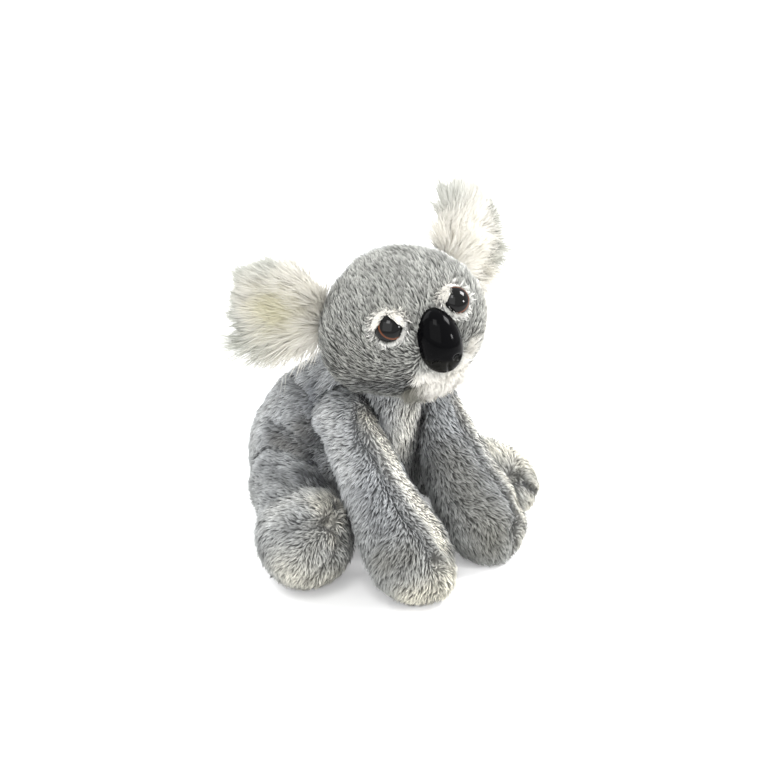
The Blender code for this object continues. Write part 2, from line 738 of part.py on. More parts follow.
def build_ear(side, hand, joint, frame):
    """The white front pad and the grey back pad of an ear, and the groove in the head for their root."""
    for name, facing, thickness, material in (
        ("front", 1, EAR_FRONT_THICKNESS, plush("white_plush", WHITE_PLUSH)),
        ("back", -1, EAR_BACK_THICKNESS, plush("grey_plush", GREY_PLUSH)),
    ):
        way = -hand * facing
        built = bmesh.new()
        for share, depth_share in EAR_DOME_SHARES:
            depth = GAP / 2 + (thickness - GAP / 2) * depth_share
            for index in range(EAR_SIDES):
                turn = 2 * math.pi * index / EAR_SIDES
                across = EAR_UP + EAR_RADIUS * share * math.cos(turn)
                out = EAR_OUT + EAR_RADIUS * share * math.sin(turn)
                built.verts.new((way * depth, across, out))
        for across in (-EAR_ROOT_HALF, EAR_ROOT_HALF):
            for step in range(EAR_ROOT_STEPS + 1):
                turn = math.pi / 2 * step / EAR_ROOT_STEPS
                depth = max(EAR_ROOT_RADIUS * math.sin(turn), GAP / 2)
                built.verts.new((way * depth, across, -EAR_ROOT_RADIUS * math.cos(turn)))
        hull = bmesh.ops.convex_hull(built, input=built.verts)
        loose = [part for part in hull["geom_interior"] if isinstance(part, bmesh.types.BMVert)]
        bmesh.ops.delete(built, geom=loose, context="VERTS")
        bmesh.ops.recalc_face_normals(built, faces=built.faces)
        bmesh.ops.transform(built, verts=built.verts, matrix=frame)
        piece(f"ear_{side}_{name}", built, material, joint)
    along = frame @ Matrix.Rotation(math.pi / 2, 4, "X")
    reach = EAR_ROOT_HALF + GAP
    radius = clear_radius(EAR_ROOT_RADIUS, EAR_SIDES)
    return guide(f"ear_{side}_groove", rod(radius, reach, -reach, along, EAR_SIDES))


def build_head(neck, ear_joints, ear_frames):
    """The head's skin and filling, with what is sewn on it or locked through it."""
    form = head_form()
    span = 4 * HEAD_HALF_WIDTH
    depth = 2 * HEAD_HALF_HEIGHT
    under_collar = neck_frame() @ Matrix.Translation((0, 0, GAP - depth))
    below = guide("below_collar", boxed((span, span, depth), under_collar))
    head_over = guide("head_over_patch", form.mesh(GAP + PATCH_THICKNESS))
    head_under = guide("head_under_patch", form.mesh(GAP))
    bores = []
    pockets = []
    for side, hand in HANDS:
        bore, pocket = build_eye(side, hand, neck, head_over, head_under)
        bores.append(bore)
        pockets.append(pocket)
    bore, pocket, nose_clear = build_nose(neck, head_under)
    bores.append(bore)
    pockets.append(pocket)
    chin_frame = seat_on_head(0, -CHIN_DROP_DEG)
    oval = almond(CHIN_HALF_WIDTH, CHIN_HALF_HEIGHT, 1, OVERRUN, -OVERRUN, chin_frame)
    chin = piece("chin_patch", oval, plush("white_plush", WHITE_PLUSH), neck)
    combine(chin, "INTERSECT", head_over)
    cut(chin, head_under, nose_clear, below)
    grooves = [
        build_ear(side, hand, joint, frame)
        for (side, hand), joint, frame in zip(HANDS, ear_joints, ear_frames)
    ]
    skin = piece("head_skin", form.mesh(), plush("grey_plush", GREY_PLUSH), neck)
    hollow = guide("head_hollow", form.mesh(-SKIN_WALL, INNER_SHARE))
    cut(skin, hollow, below, *bores, *grooves)
    fill = piece(
        "head_stuffing", form.mesh(-SKIN_WALL - GAP, INNER_SHARE), plush("fibre_fill", FIBRE_FILL), neck
    )
    cut(fill, below, *pockets)


def main():
    clear_scene()
    neck = joint_at("neck_joint", neck_frame().translation)
    ear_frames = [
        seat_on_head(hand * EAR_SIDE_DEG, EAR_CLIMB_DEG) @ Matrix.Translation((0, 0, EAR_AXIS_RISE))
        for _, hand in HANDS
    ]
    ear_joints = [
        joint_at(f"ear_{side}_joint", frame.translation, neck)
        for (side, _), frame in zip(HANDS, ear_frames)
    ]
    shoulders = [
        joint_at(f"shoulder_{side}", Vector((hand * SHOULDER_X, SHOULDER_Y, SHOULDER_HEIGHT)))
        for side, hand in HANDS
    ]
    hips = [joint_at(f"hip_{side}", Vector((hand * HIP_X, HIP_Y, HIP_HEIGHT))) for side, hand in HANDS]
    floor = build_body(shoulders, hips)
    build_head(neck, ear_joints, ear_frames)
    paws = (Vector((-PAW_RIGHT_X, -PAW_RIGHT_REACH, 0)), Vector((PAW_LEFT_X, -PAW_LEFT_REACH, 0)))
    feet = (Vector((-FOOT_RIGHT_X, -FOOT_RIGHT_REACH, 0)), Vector((FOOT_LEFT_X, -FOOT_LEFT_REACH, 0)))
    for (side, _), shoulder, hip, paw, foot in zip(HANDS, shoulders, hips, paws, feet):
        arm = settled(arm_form, world_point(shoulder), paw + Vector((0, 0, ARM_HALF_THICKNESS)))
        build_limb(f"arm_{side}", arm, shoulder, SHOULDER_RADIUS, ARM_MOUTH_RADIUS, floor)
        leg = settled(leg_form, world_point(hip), foot + Vector((0, 0, FOOT_HALF_HEIGHT)))
        build_limb(f"leg_{side}", leg, hip, HIP_RADIUS, LEG_MOUTH_RADIUS, floor)


main()
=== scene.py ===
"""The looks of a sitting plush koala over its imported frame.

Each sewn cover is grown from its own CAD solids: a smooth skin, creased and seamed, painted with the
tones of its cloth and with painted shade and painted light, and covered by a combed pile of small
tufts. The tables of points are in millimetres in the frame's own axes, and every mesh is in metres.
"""

import json
import logging
import math
from dataclasses import dataclass
from enum import Enum

import bmesh
import bpy
import numpy as np
from mathutils import Matrix, Vector, noise
from mathutils.bvhtree import BVHTree

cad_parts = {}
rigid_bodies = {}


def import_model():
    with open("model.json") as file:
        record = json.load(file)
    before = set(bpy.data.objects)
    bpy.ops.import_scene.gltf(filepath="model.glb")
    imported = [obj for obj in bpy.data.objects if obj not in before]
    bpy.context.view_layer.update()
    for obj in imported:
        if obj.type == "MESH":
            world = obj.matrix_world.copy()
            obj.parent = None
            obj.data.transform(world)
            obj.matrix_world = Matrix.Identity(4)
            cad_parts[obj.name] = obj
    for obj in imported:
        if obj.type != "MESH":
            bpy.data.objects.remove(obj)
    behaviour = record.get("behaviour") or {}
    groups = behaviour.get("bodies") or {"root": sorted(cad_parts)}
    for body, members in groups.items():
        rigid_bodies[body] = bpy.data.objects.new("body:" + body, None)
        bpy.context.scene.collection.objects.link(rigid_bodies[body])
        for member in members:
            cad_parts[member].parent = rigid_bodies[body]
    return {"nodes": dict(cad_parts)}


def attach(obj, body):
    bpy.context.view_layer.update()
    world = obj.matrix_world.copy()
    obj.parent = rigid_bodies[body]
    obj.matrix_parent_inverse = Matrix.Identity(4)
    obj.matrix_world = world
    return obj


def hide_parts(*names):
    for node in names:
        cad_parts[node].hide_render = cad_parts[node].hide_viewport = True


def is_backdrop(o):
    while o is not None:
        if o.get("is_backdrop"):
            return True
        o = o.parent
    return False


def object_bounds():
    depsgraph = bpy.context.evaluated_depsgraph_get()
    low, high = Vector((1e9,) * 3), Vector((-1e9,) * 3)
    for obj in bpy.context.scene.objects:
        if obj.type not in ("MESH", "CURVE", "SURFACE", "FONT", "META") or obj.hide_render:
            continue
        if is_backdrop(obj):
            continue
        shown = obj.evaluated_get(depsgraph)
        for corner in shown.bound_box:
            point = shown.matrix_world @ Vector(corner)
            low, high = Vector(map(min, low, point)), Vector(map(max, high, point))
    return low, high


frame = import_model()
CAD_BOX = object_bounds()

MM = 0.001
FLOOR_GAP = 0.1 * MM
TINY = 1e-12
WELD = 1e-6
LOG = logging.getLogger("koala")

Point = tuple[float, float, float]
Colour = tuple[float, float, float]
Socket = bpy.types.NodeSocket


class Side(Enum):
    """The koala's own two sides, each with the sign of its X."""

    RIGHT = -1
    LEFT = 1

    @property
    def word(self) -> str:
        """The side's name as the frame's nodes write it."""
        return self.name.lower()


class Domain(Enum):
    """Where a named value is kept on a mesh, with Blender's words for its kind."""

    NUMBER = "FLOAT"
    WAY = "FLOAT_VECTOR"
    TONE = "FLOAT_COLOR"


class NodeSheet:
    """A node tree with short ways to add nodes and join them."""

    def __init__(self, tree: bpy.types.NodeTree) -> None:
        """Keeps the tree that the nodes go into."""
        self.tree = tree

    def join(self, value: object, socket: Socket) -> None:
        """Gives an input its value.

        Args:
            value: an output to link, or a plain value.
            socket: the input.
        """
        if isinstance(value, Socket):
            self.tree.links.new(value, socket)
        else:
            socket.default_value = value

    def feed(self, node: bpy.types.Node, **values: object) -> None:
        """Gives some of a node's inputs their values, each by its name with _ for a space."""
        for name, value in values.items():
            self.join(value, node.inputs[name.replace("_", " ")])

    def add(self, kind: str, **given: object) -> bpy.types.Node:
        """Adds a node with its properties and inputs.

        Args:
            kind: Blender's name for the node's type.
            given: values by name. A name with a capital is an input's, and any other a property's.

        Returns:
            The new node.
        """
        node = self.tree.nodes.new(kind)
        for name, value in given.items():
            if name[0].isupper():
                self.feed(node, **{name: value})
            else:
                setattr(node, name, value)
        return node

    def maths(self, operation: str, *values: object) -> Socket:
        """The result of a maths node.

        Args:
            operation: Blender's name for the operation.
            values: an output or a number for each input.

        Returns:
            The node's output.
        """
        node = self.add("ShaderNodeMath", operation=operation)
        for socket, value in zip(node.inputs, values):
            self.join(value, socket)
        return node.outputs[0]

    def own(self, name: str, output: str = "Fac") -> Socket:
        """A mesh's own named value in a shader."""
        return self.add("ShaderNodeAttribute", attribute_name=name).outputs[output]

    def toned(self, factor: Socket) -> Socket:
        """The mesh's own tone, made darker or paler.

        Args:
            factor: how pale, where 1 leaves the tone as it is.

        Returns:
            The colour.
        """
        tone = self.own("tone", "Color")
        node = self.add("ShaderNodeVectorMath", operation="SCALE", Vector=tone, Scale=factor)
        return node.outputs["Vector"]

    def grain(self, scale: float, detail: float) -> Socket:
        """A noise in the object's own space, with its scale in waves to a metre."""
        place = self.add("ShaderNodeTexCoord").outputs["Object"]
        return self.add("ShaderNodeTexNoise", Vector=place, Scale=scale, Detail=detail).outputs["Fac"]

    def bump(self, height: Socket, strength: float, distance: float) -> Socket:
        """The normal of a bump of this height, with its distance in metres."""
        node = self.add("ShaderNodeBump", Height=height, Strength=strength, Distance=distance)
        return node.outputs["Normal"]

    def blend(self, factor: Socket, low: Colour, high: Colour) -> Socket:
        """A colour between two others."""
        node = self.add("ShaderNodeMix", data_type="RGBA", Factor=factor, A=(*low, 1), B=(*high, 1))
        return node.outputs["Result"]

    def ramp(self, value: Socket, start: float, end: float, **given: float) -> Socket:
        """A value's smooth rise.

        Args:
            value: the value.
            start: where the rise starts.
            end: where it ends.
            given: the lowest and highest result, where they aren't 0 and 1.

        Returns:
            The result.
        """
        node = self.add("ShaderNodeMapRange", interpolation_type="SMOOTHSTEP", Value=value, **given)
        self.feed(node, From_Min=start, From_Max=end)
        return node.outputs["Result"]

    def named(self, name: str, kind: Domain) -> Socket:
        """A named value in a geometry tree."""
        node = self.add("GeometryNodeInputNamedAttribute", data_type=kind.value, Name=name)
        return node.outputs["Attribute"]


def new_material(name: str) -> tuple[bpy.types.Material, NodeSheet, bpy.types.Node]:
    """Starts a node material.

    Args:
        name: the material's name.

    Returns:
        The material, its sheet of nodes and its Principled shader.
    """
    made = bpy.data.materials.new(name)
    made.use_nodes = True
    return made, NodeSheet(made.node_tree), made.node_tree.nodes["Principled BSDF"]


@dataclass(frozen=True)
class PileFinish:
    """Combed pile: each hair has painted shade at its root and painted sheen at its tip, in its cloth's
    tone.
    """

    name: str
    root_share: float = 0.32
    tip_share: float = 1.08
    spread: float = 0.8
    roughness: float = 0.55
    root_end: float = 0.05
    tip_start: float = 0.8
    sheen: float = 0.25
    sheen_roughness: float = 0.4
    specular: float = 0.25

    def material(self) -> bpy.types.Material:
        """Builds the material.

        Returns:
            A material that reads the tufts' own tone, shade and along values.
        """
        made, sheet, shader = new_material(self.name)
        # painted shade darkens each hair towards its root, and painted sheen pales its tip
        along = sheet.ramp(
            sheet.own("along"), self.root_end, self.tip_start, To_Min=self.root_share, To_Max=self.tip_share
        )
        offset = sheet.maths("SUBTRACT", sheet.own("shade"), 0.5)
        lift = sheet.maths("MULTIPLY_ADD", offset, self.spread, 1.0)
        sheet.feed(
            shader,
            Base_Color=sheet.toned(sheet.maths("MULTIPLY", along, lift)),
            Roughness=self.roughness,
            Sheen_Weight=self.sheen,
            Sheen_Roughness=self.sheen_roughness,
            Specular_IOR_Level=self.specular,
        )
        return made


@dataclass(frozen=True)
class BackingFinish:
    """The cloth under the pile: the skin's own tone, darkened as painted shade between the tufts, mottled,
    with a fine nap.
    """

    name: str
    share: float
    grain: float = 900.0
    roughness: float = 0.95
    nap: float = 0.0004

    def material(self) -> bpy.types.Material:
        """Builds the material.

        Returns:
            A material of the skin's own tone and a fine noise.
        """
        made, sheet, shader = new_material(self.name)
        grain = sheet.grain(self.grain, 3.0)
        # the share darkens the tone: painted shade in the gaps between the tufts
        sheet.feed(
            shader,
            Base_Color=sheet.toned(sheet.maths("MULTIPLY_ADD", grain, self.share, self.share / 2)),
            Normal=sheet.bump(grain, 0.5, self.nap),
            Roughness=self.roughness,
        )
        return made


@dataclass(frozen=True)
class GlossFinish:
    """Moulded gloss plastic with faint mould ripples, scuffed and paler below a level."""

    name: str
    colour: Colour
    low_colour: Colour
    low_at: float
    fade: float = 1.5
    roughness: float = 0.06
    uneven: float = 0.05
    ripple: float = 0.00004
    ripple_scale: float = 260.0
    ior: float = 1.25
    specular: float = 0.15

    def material(self) -> bpy.types.Material:
        """Builds the material.

        Returns:
            A material whose ripples are a bump.
        """
        made, sheet, shader = new_material(self.name)
        ripples = sheet.grain(self.ripple_scale, 2.0)
        place = sheet.add("ShaderNodeTexCoord").outputs["Object"]
        level = sheet.add("ShaderNodeSeparateXYZ", Vector=place).outputs["Z"]
        height = sheet.ramp(level, (self.low_at - self.fade) * MM, (self.low_at + self.fade) * MM)
        sheet.feed(
            shader,
            Base_Color=sheet.blend(height, self.low_colour, self.colour),
            Normal=sheet.bump(ripples, 0.25, self.ripple),
            Roughness=sheet.maths("MULTIPLY_ADD", ripples, self.uneven, self.roughness),
            IOR=self.ior,
            Specular_IOR_Level=self.specular,
        )
        return made


@dataclass(frozen=True)
class EyeFinish:
    """A clear-fronted eye: black pupil, brown ring and black rim by the distance from its axis."""

    name: str = "eye_gloss"
    pupil_share: float = 0.86
    ring_share: float = 1.02
    edge: float = 0.06
    brown: Colour = (0.13, 0.042, 0.017)
    black: Colour = (0.003, 0.003, 0.003)
    roughness: float = 0.04
    specular: float = 0.25

    def material(self) -> bpy.types.Material:
        """Builds the material.

        Returns:
            A material that reads the eye's own radial value.
        """
        made, sheet, shader = new_material(self.name)
        rings = sheet.add("ShaderNodeValToRGB", Fac=sheet.own("radial"))
        stops = rings.color_ramp.elements
        stops[0].position, stops[0].color = self.pupil_share, (*self.black, 1)
        stops[1].position, stops[1].color = self.pupil_share + self.edge, (*self.brown, 1)
        for position, colour in ((self.ring_share, self.brown), (self.ring_share + self.edge, self.black)):
            stops.new(position).color = (*colour, 1)
        colour = rings.outputs["Color"]
        sheet.feed(shader, Base_Color=colour, Roughness=self.roughness, Specular_IOR_Level=self.specular)
        return made


@dataclass(frozen=True)
class PlainFinish:
    """A hidden piece's finish: its colour mottled by a noise, and a fine bump."""

    name: str
    colour: Colour
    roughness: float
    grain: float
    depth: float
    mottle: float = 0.8

    def material(self) -> bpy.types.Material:
        """Builds the material.

        Returns:
            A material of the colour and a darker one.
        """
        made, sheet, shader = new_material(self.name)
        grain = sheet.grain(self.grain, 4.0)
        darker = tuple(self.mottle * part for part in self.colour)
        sheet.feed(
            shader,
            Base_Color=sheet.blend(grain, darker, self.colour),
            Normal=sheet.bump(grain, 0.6, self.depth),
            Roughness=self.roughness,
        )
        return made


Finish = PileFinish | BackingFinish | GlossFinish | EyeFinish | PlainFinish

GREY_PILE = PileFinish("grey_pile")
FACE_COAT = PileFinish("face_pile_coat", root_share=0.2, tip_share=1.1, spread=1.05)
EAR_BACK = PileFinish("ear_back_pile", root_share=0.75, tip_share=1.04, spread=0.3)
WHITE_PILE = PileFinish("white_pile", root_share=0.94, tip_share=1.03, spread=0.08, roughness=0.6)
# a dark backing: painted shade in the gaps of the pile
BACKING = BackingFinish("plush_backing", share=0.3)
WHITE_BACKING = BackingFinish("white_backing", share=0.95)
FILLING = PlainFinish("fibre_filling", (0.86, 0.85, 0.82), 0.95, 700.0, 0.0006)
BAG = PlainFinish("pellet_bag_cloth", (0.70, 0.68, 0.63), 0.9, 1500.0, 0.0003)

_FINISHES: dict[str, bpy.types.Material] = {}


def finish_of(finish: Finish) -> bpy.types.Material:
    """The material of a finish, built the first time that it is asked for.

    Args:
        finish: the finish.

    Returns:
        Its material.
    """
    if finish.name not in _FINISHES:
        _FINISHES[finish.name] = finish.material()
    return _FINISHES[finish.name]


def placed(name: str, data: bpy.types.ID) -> bpy.types.Object:
    """Puts a new object of a mesh, lamp or camera into the scene.

    Args:
        name: the object's name.
        data: what it shows.

    Returns:
        The object, at the origin.
    """
    thing = bpy.data.objects.new(name, data)
    bpy.context.scene.collection.objects.link(thing)
    return thing


def dress(mesh: bpy.types.Mesh, finish: Finish) -> None:
    """Gives a mesh one finish, whatever it had, and smooth shading.

    Args:
        mesh: the mesh.
        finish: its finish.
    """
    mesh.materials.clear()
    mesh.materials.append(finish_of(finish))
    mesh.shade_smooth()


def read(things: bpy.types.bpy_prop_collection, name: str, width: int, kind: type = float) -> np.ndarray:
    """Reads a value of each thing in a collection.

    Args:
        things: the points, edges or values.
        name: the value's name.
        width: how many numbers it has.
        kind: the kind of its numbers.

    Returns:
        A row for each thing.
    """
    values = np.empty(len(things) * width, kind)
    things.foreach_get(name, values)
    return values.reshape(-1, width)


def unit(ways: np.ndarray, least: float = TINY) -> np.ndarray:
    """The ways brought to a length of 1, or less where one is shorter than the least."""
    return ways / np.maximum(np.linalg.norm(ways, axis=1), least)[:, None]


def towards(tone: np.ndarray, colour: Colour, share: np.ndarray) -> np.ndarray:
    """Each point's tone, moved its own share of the way to a colour."""
    return tone * (1 - share)[:, None] + np.array(colour) * share[:, None]


@dataclass(frozen=True)
class Mark:
    """A soft-edged place on a skin, near a point or along a line of points."""

    path: tuple[Point, ...]
    reach: float

    def apart(self, points: np.ndarray) -> np.ndarray:
        """The way to each point from the place on the line that is nearest to it.

        Args:
            points: places in metres.

        Returns:
            The ways in metres.
        """
        ends = np.array(self.path) * MM
        pairs = list(zip(ends, ends[1:])) or [(ends[0], ends[0])]
        nearest = np.full(points.shape, np.inf)
        for start, end in pairs:
            span = end - start
            share = np.clip((points - start) @ span / max(span @ span, TINY), 0, 1)
            found = points - start - share[:, None] * span
            closer = np.linalg.norm(found, axis=1) < np.linalg.norm(nearest, axis=1)
            nearest[closer] = found[closer]
        return nearest

    def holds(self, points: np.ndarray) -> np.ndarray:
        """Whether each point lies within the line's reach."""
        return np.linalg.norm(self.apart(points), axis=1) < self.reach * MM

    def share(self, points: np.ndarray) -> np.ndarray:
        """From 1 on the line to 0 far from it."""
        return np.exp(-((np.linalg.norm(self.apart(points), axis=1) / (self.reach * MM)) ** 2))


@dataclass(frozen=True)
class Panel:
    """A sewn panel of a cover, on one side of a seam's plane, in a cloth of its own tone."""

    seam: Point
    facing: Point
    colour: Colour
    fade: float = 1.5

    def share(self, points: np.ndarray) -> np.ndarray:
        """How far each point belongs to the panel, from 0 to 1."""
        ahead = (points / MM - np.array(self.seam)) @ np.array(self.facing)
        return np.clip(0.5 + ahead / self.fade, 0, 1)


@dataclass(frozen=True)
class Crease:
    """A fold or seam pressed into a skin, which also darkens it with painted shade. A depth below 0 is a
    swell.
    """

    mark: Mark
    depth: float
    # how much painted shade lies in the fold
    dark: float = 0.0


@dataclass(frozen=True)
class Tint:
    """A place where the tone goes towards another colour; tints serve for cloth colours, painted shade and
    painted light.
    """

    mark: Mark
    colour: Colour
    strength: float


@dataclass(frozen=True)
class Stroke:
    """A stroke of the comb: at a point, the pile lies this way."""

    at: Point
    way: Point


@dataclass(frozen=True)
class Parting:
    """A point or a line that the pile lies away from."""

    mark: Mark
    strength: float


def wander(points: np.ndarray, size: float, seed: float, gain: float = 1.6) -> np.ndarray:
    """A smooth random value at each point, from about -1 to 1.

    Args:
        points: places in metres.
        size: the width of its waves in millimetres.
        seed: where the pattern starts.
        gain: brings the noise to its range.

    Returns:
        One value for each point.
    """
    start = Vector((seed, 2 * seed, 3 * seed))
    scaled = points / (size * MM)
    return np.array([gain * noise.noise(Vector(place) + start) for place in scaled])


@dataclass(frozen=True)
class Comb:
    """How the pile lies all over a skin."""

    strokes: tuple[Stroke, ...]
    partings: tuple[Parting, ...] = ()
    waver_deg: float = 16.0
    waver_size: float = 9.0
    fine_share: float = 0.6
    calm: float = 2.0

    def ways(self, points: np.ndarray, normals: np.ndarray) -> np.ndarray:
        """The direction of the pile at each point, along the skin.

        Args:
            points: the skin's points.
            normals: its outward normals.

        Returns:
            Unit directions that lie in the skin.
        """
        flow = np.zeros_like(points)
        for stroke in self.strokes:
            gap = np.linalg.norm(points - np.array(stroke.at) * MM, axis=1)
            way = np.array(stroke.way) / np.linalg.norm(stroke.way)
            flow += way / (gap[:, None] + self.calm * MM) ** 3 * MM**3
        flow = unit(flow)
        for parting in self.partings:
            share = (parting.strength * parting.mark.share(points))[:, None]
            flow = flow * (1 - share) + share * unit(parting.mark.apart(points), 1e-9)
        flow = unit(flow - normals * (flow * normals).sum(axis=1)[:, None])
        waves = wander(points, self.waver_size, 11.0)
        waves += self.fine_share * wander(points, self.waver_size / 3, 13.0)
        turn = waves * math.radians(self.waver_deg)
        return flow * np.cos(turn)[:, None] + np.cross(normals, flow) * np.sin(turn)[:, None]


SHRINK, SWELL = 0.6, 0.62


class Surface:
    """A closed skin as arrays, to be smoothed, creased, painted and combed."""

    def __init__(self, mesh: bpy.types.Mesh) -> None:
        """Reads the mesh's points and edges.

        Args:
            mesh: the skin's mesh.
        """
        self.mesh = mesh
        self.points = read(mesh.vertices, "co", 3)
        self.edges = read(mesh.edges, "vertices", 2, int)
        self.around = np.bincount(self.edges.ravel(), minlength=len(self.points))[:, None]

    @classmethod
    def over(cls, name: str, nodes: tuple[str, ...], voxel: float, extras: tuple = ()) -> "Surface":
        """A smooth closed skin over solids that lie inside or across one another.

        Args:
            name: the mesh's name.
            nodes: the CAD nodes that it covers.
            voxel: the size of its faces in millimetres.
            extras: further closed meshes that it covers.

        Returns:
            The skin, without any shell that lies inside it.
        """
        built = bmesh.new()
        for mesh in (*(frame["nodes"][node].data for node in nodes), *extras):
            built.from_mesh(mesh)
        bmesh.ops.remove_doubles(built, verts=built.verts, dist=WELD)
        blank = bpy.data.meshes.new(name)
        built.to_mesh(blank)
        built.free()
        thing = placed(name, blank)
        remesh = thing.modifiers.new("remesh", "REMESH")
        remesh.mode = "VOXEL"
        remesh.voxel_size = voxel * MM
        graph = bpy.context.evaluated_depsgraph_get()
        mesh = bpy.data.meshes.new_from_object(thing.evaluated_get(graph))
        bpy.data.objects.remove(thing)
        bpy.data.meshes.remove(blank)
        mesh.name = name
        keep_largest(mesh)
        return cls(mesh)

    def normals(self) -> np.ndarray:
        """The outward normal at each point."""
        self.write()
        return read(self.mesh.vertex_normals, "vector", 3)

    def mean(self, values: np.ndarray) -> np.ndarray:
        """The mean of each point's neighbours.

        Args:
            values: a row for each point.

        Returns:
            A row for each point.
        """
        total = np.zeros_like(values)
        for column, here in enumerate(values.T):
            for one, other in ((0, 1), (1, 0)):
                weights = here[self.edges[:, other]]
                total[:, column] += np.bincount(self.edges[:, one], weights, minlength=len(values))
        return total / np.maximum(self.around, 1)

    def smooth(self, times: int) -> None:
        """Smooths the facets away and keeps the volume.

        Args:
            times: how often it shrinks and swells.
        """
        for _ in range(times):
            for share in (SHRINK, -SWELL):
                self.points += share * (self.mean(self.points) - self.points)

    def push(self, amounts: np.ndarray) -> None:
        """Moves each point outwards by its own amount, in metres."""
        self.points += self.normals() * amounts[:, None]

    def above(self, level: float) -> None:
        """Presses what lies below a level in millimetres flat on it."""
        self.points[:, 2] = np.maximum(self.points[:, 2], level * MM)

    def store(self, name: str, kind: Domain, values: np.ndarray) -> None:
        """Keeps a named value at each point of the mesh.

        Args:
            name: the value's name.
            kind: its kind.
            values: a number or a row for each point.
        """
        made = self.mesh.attributes.new(name, kind.value, "POINT")
        word = {Domain.NUMBER: "value", Domain.WAY: "vector", Domain.TONE: "color"}[kind]
        made.data.foreach_set(word, np.ascontiguousarray(values, np.float32).ravel())

    def write(self) -> None:
        """Puts the points back into the mesh."""
        self.mesh.vertices.foreach_set("co", np.ascontiguousarray(self.points, np.float32).ravel())
        self.mesh.update()


def keep_largest(mesh: bpy.types.Mesh) -> None:
    """Deletes every shell of a mesh but the one with the most points.

    Args:
        mesh: the mesh.
    """
    built = bmesh.new()
    built.from_mesh(mesh)
    left = set(built.verts)
    shells: list[set] = []
    while left:
        shell, stack = set(), [left.pop()]
        while stack:
            vertex = stack.pop()
            shell.add(vertex)
            for edge in vertex.link_edges:
                other = edge.other_vert(vertex)
                if other in left:
                    left.remove(other)
                    stack.append(other)
        shells.append(shell)
    shells.sort(key=len)
    loose = [vertex for shell in shells[:-1] for vertex in shell]
    bmesh.ops.delete(built, geom=loose, context="VERTS")
    built.to_mesh(mesh)
    built.free()


@dataclass(frozen=True)
class Tuft:
    """A small clump of blades that rise from the skin and bend over to lie along it."""

    length: float
    width: float
    blades: int = 3
    steps: int = 3
    root_deg: float = 28.0
    tip_deg: float = 74.0
    spread: float = 0.45
    variants: int = 4
    taper: tuple[float, ...] = (1.0, 1.0, 0.72, 0.0)
    cell_edge: float = 0.1

    def meshes(self, seed: int) -> list[bpy.types.Mesh]:
        """One mesh for each variant, rooted at the origin and combed along +Y.

        Args:
            seed: starts its random numbers.

        Returns:
            The meshes, with their along values and a map of blades side by side.
        """
        return [self.mesh(np.random.default_rng(seed + turn)) for turn in range(self.variants)]

    def mesh(self, rng: np.random.Generator) -> bpy.types.Mesh:
        """One clump of blades.

        Args:
            rng: its random numbers.

        Returns:
            The clump's mesh.
        """
        points: list[tuple] = []
        faces: list[tuple] = []
        places: list[tuple] = []
        for blade in range(self.blades):
            first = len(points)
            for level, (left, right) in enumerate(self.blade(rng, blade)):
                share = level / self.steps
                points += [left, right]
                places += [(blade, 0.0, share), (blade, 1.0, share)]
                if level:
                    low = first + 2 * (level - 1)
                    faces.append((low, low + 1, low + 3, low + 2))
            tip = (np.array(points[-1]) + np.array(points[-2])) / 2
            points[-2:] = [tuple(tip)]
            places[-2:] = [(blade, 0.5, 1.0)]
            faces[-1] = (faces[-1][0], faces[-1][1], len(points) - 1)
        made = bpy.data.meshes.new("tuft")
        made.from_pydata(points, [], faces)
        along = made.attributes.new("along", "FLOAT", "POINT")
        along.data.foreach_set("value", [place[2] for place in places])
        cell = made.attributes.new("cell", "FLOAT_VECTOR", "POINT")
        inner = 1 - 2 * self.cell_edge
        cells = [((blade + self.cell_edge + inner * u) / self.blades, v, 0.0) for blade, u, v in places]
        cell.data.foreach_set("vector", [value for place in cells for value in place])
        return made

    def blade(self, rng: np.random.Generator, index: int) -> list[tuple]:
        """One blade, which stands, leans and turns a little in its own way.

        Args:
            rng: its random numbers.
            index: its place in the clump.

        Returns:
            Its left and right edge points, row by row from its root.
        """
        middle = (self.blades - 1) / 2
        offset = (index - middle) * self.spread * MM + rng.normal(0, 0.12) * self.spread * MM
        out = rng.normal(0, 0.5) * self.spread * MM
        yaw = math.radians(rng.normal(0, 7)) - offset / (self.length * MM) * 0.5
        stride = self.length * MM * rng.uniform(0.78, 1.1) / self.steps
        roll = rng.normal(0, 0.35)
        lean = math.radians(rng.normal(0, 5))
        rise = 0.0
        rows = []
        for level in range(self.steps + 1):
            share = level / self.steps
            half = self.width * MM / 2 * self.taper[round(3 * share)]
            side = offset + out * math.sin(yaw)
            tilt = half * math.sin(roll)
            ahead = out * math.cos(yaw)
            rows.append(((side - half, ahead, rise - tilt), (side + half, ahead, rise + tilt)))
            bend = math.radians(self.root_deg) + lean
            bend += math.radians(self.tip_deg - self.root_deg) * (share + 0.5 / self.steps)
            rise += stride * math.cos(bend)
            out += stride * math.sin(bend)
        return rows


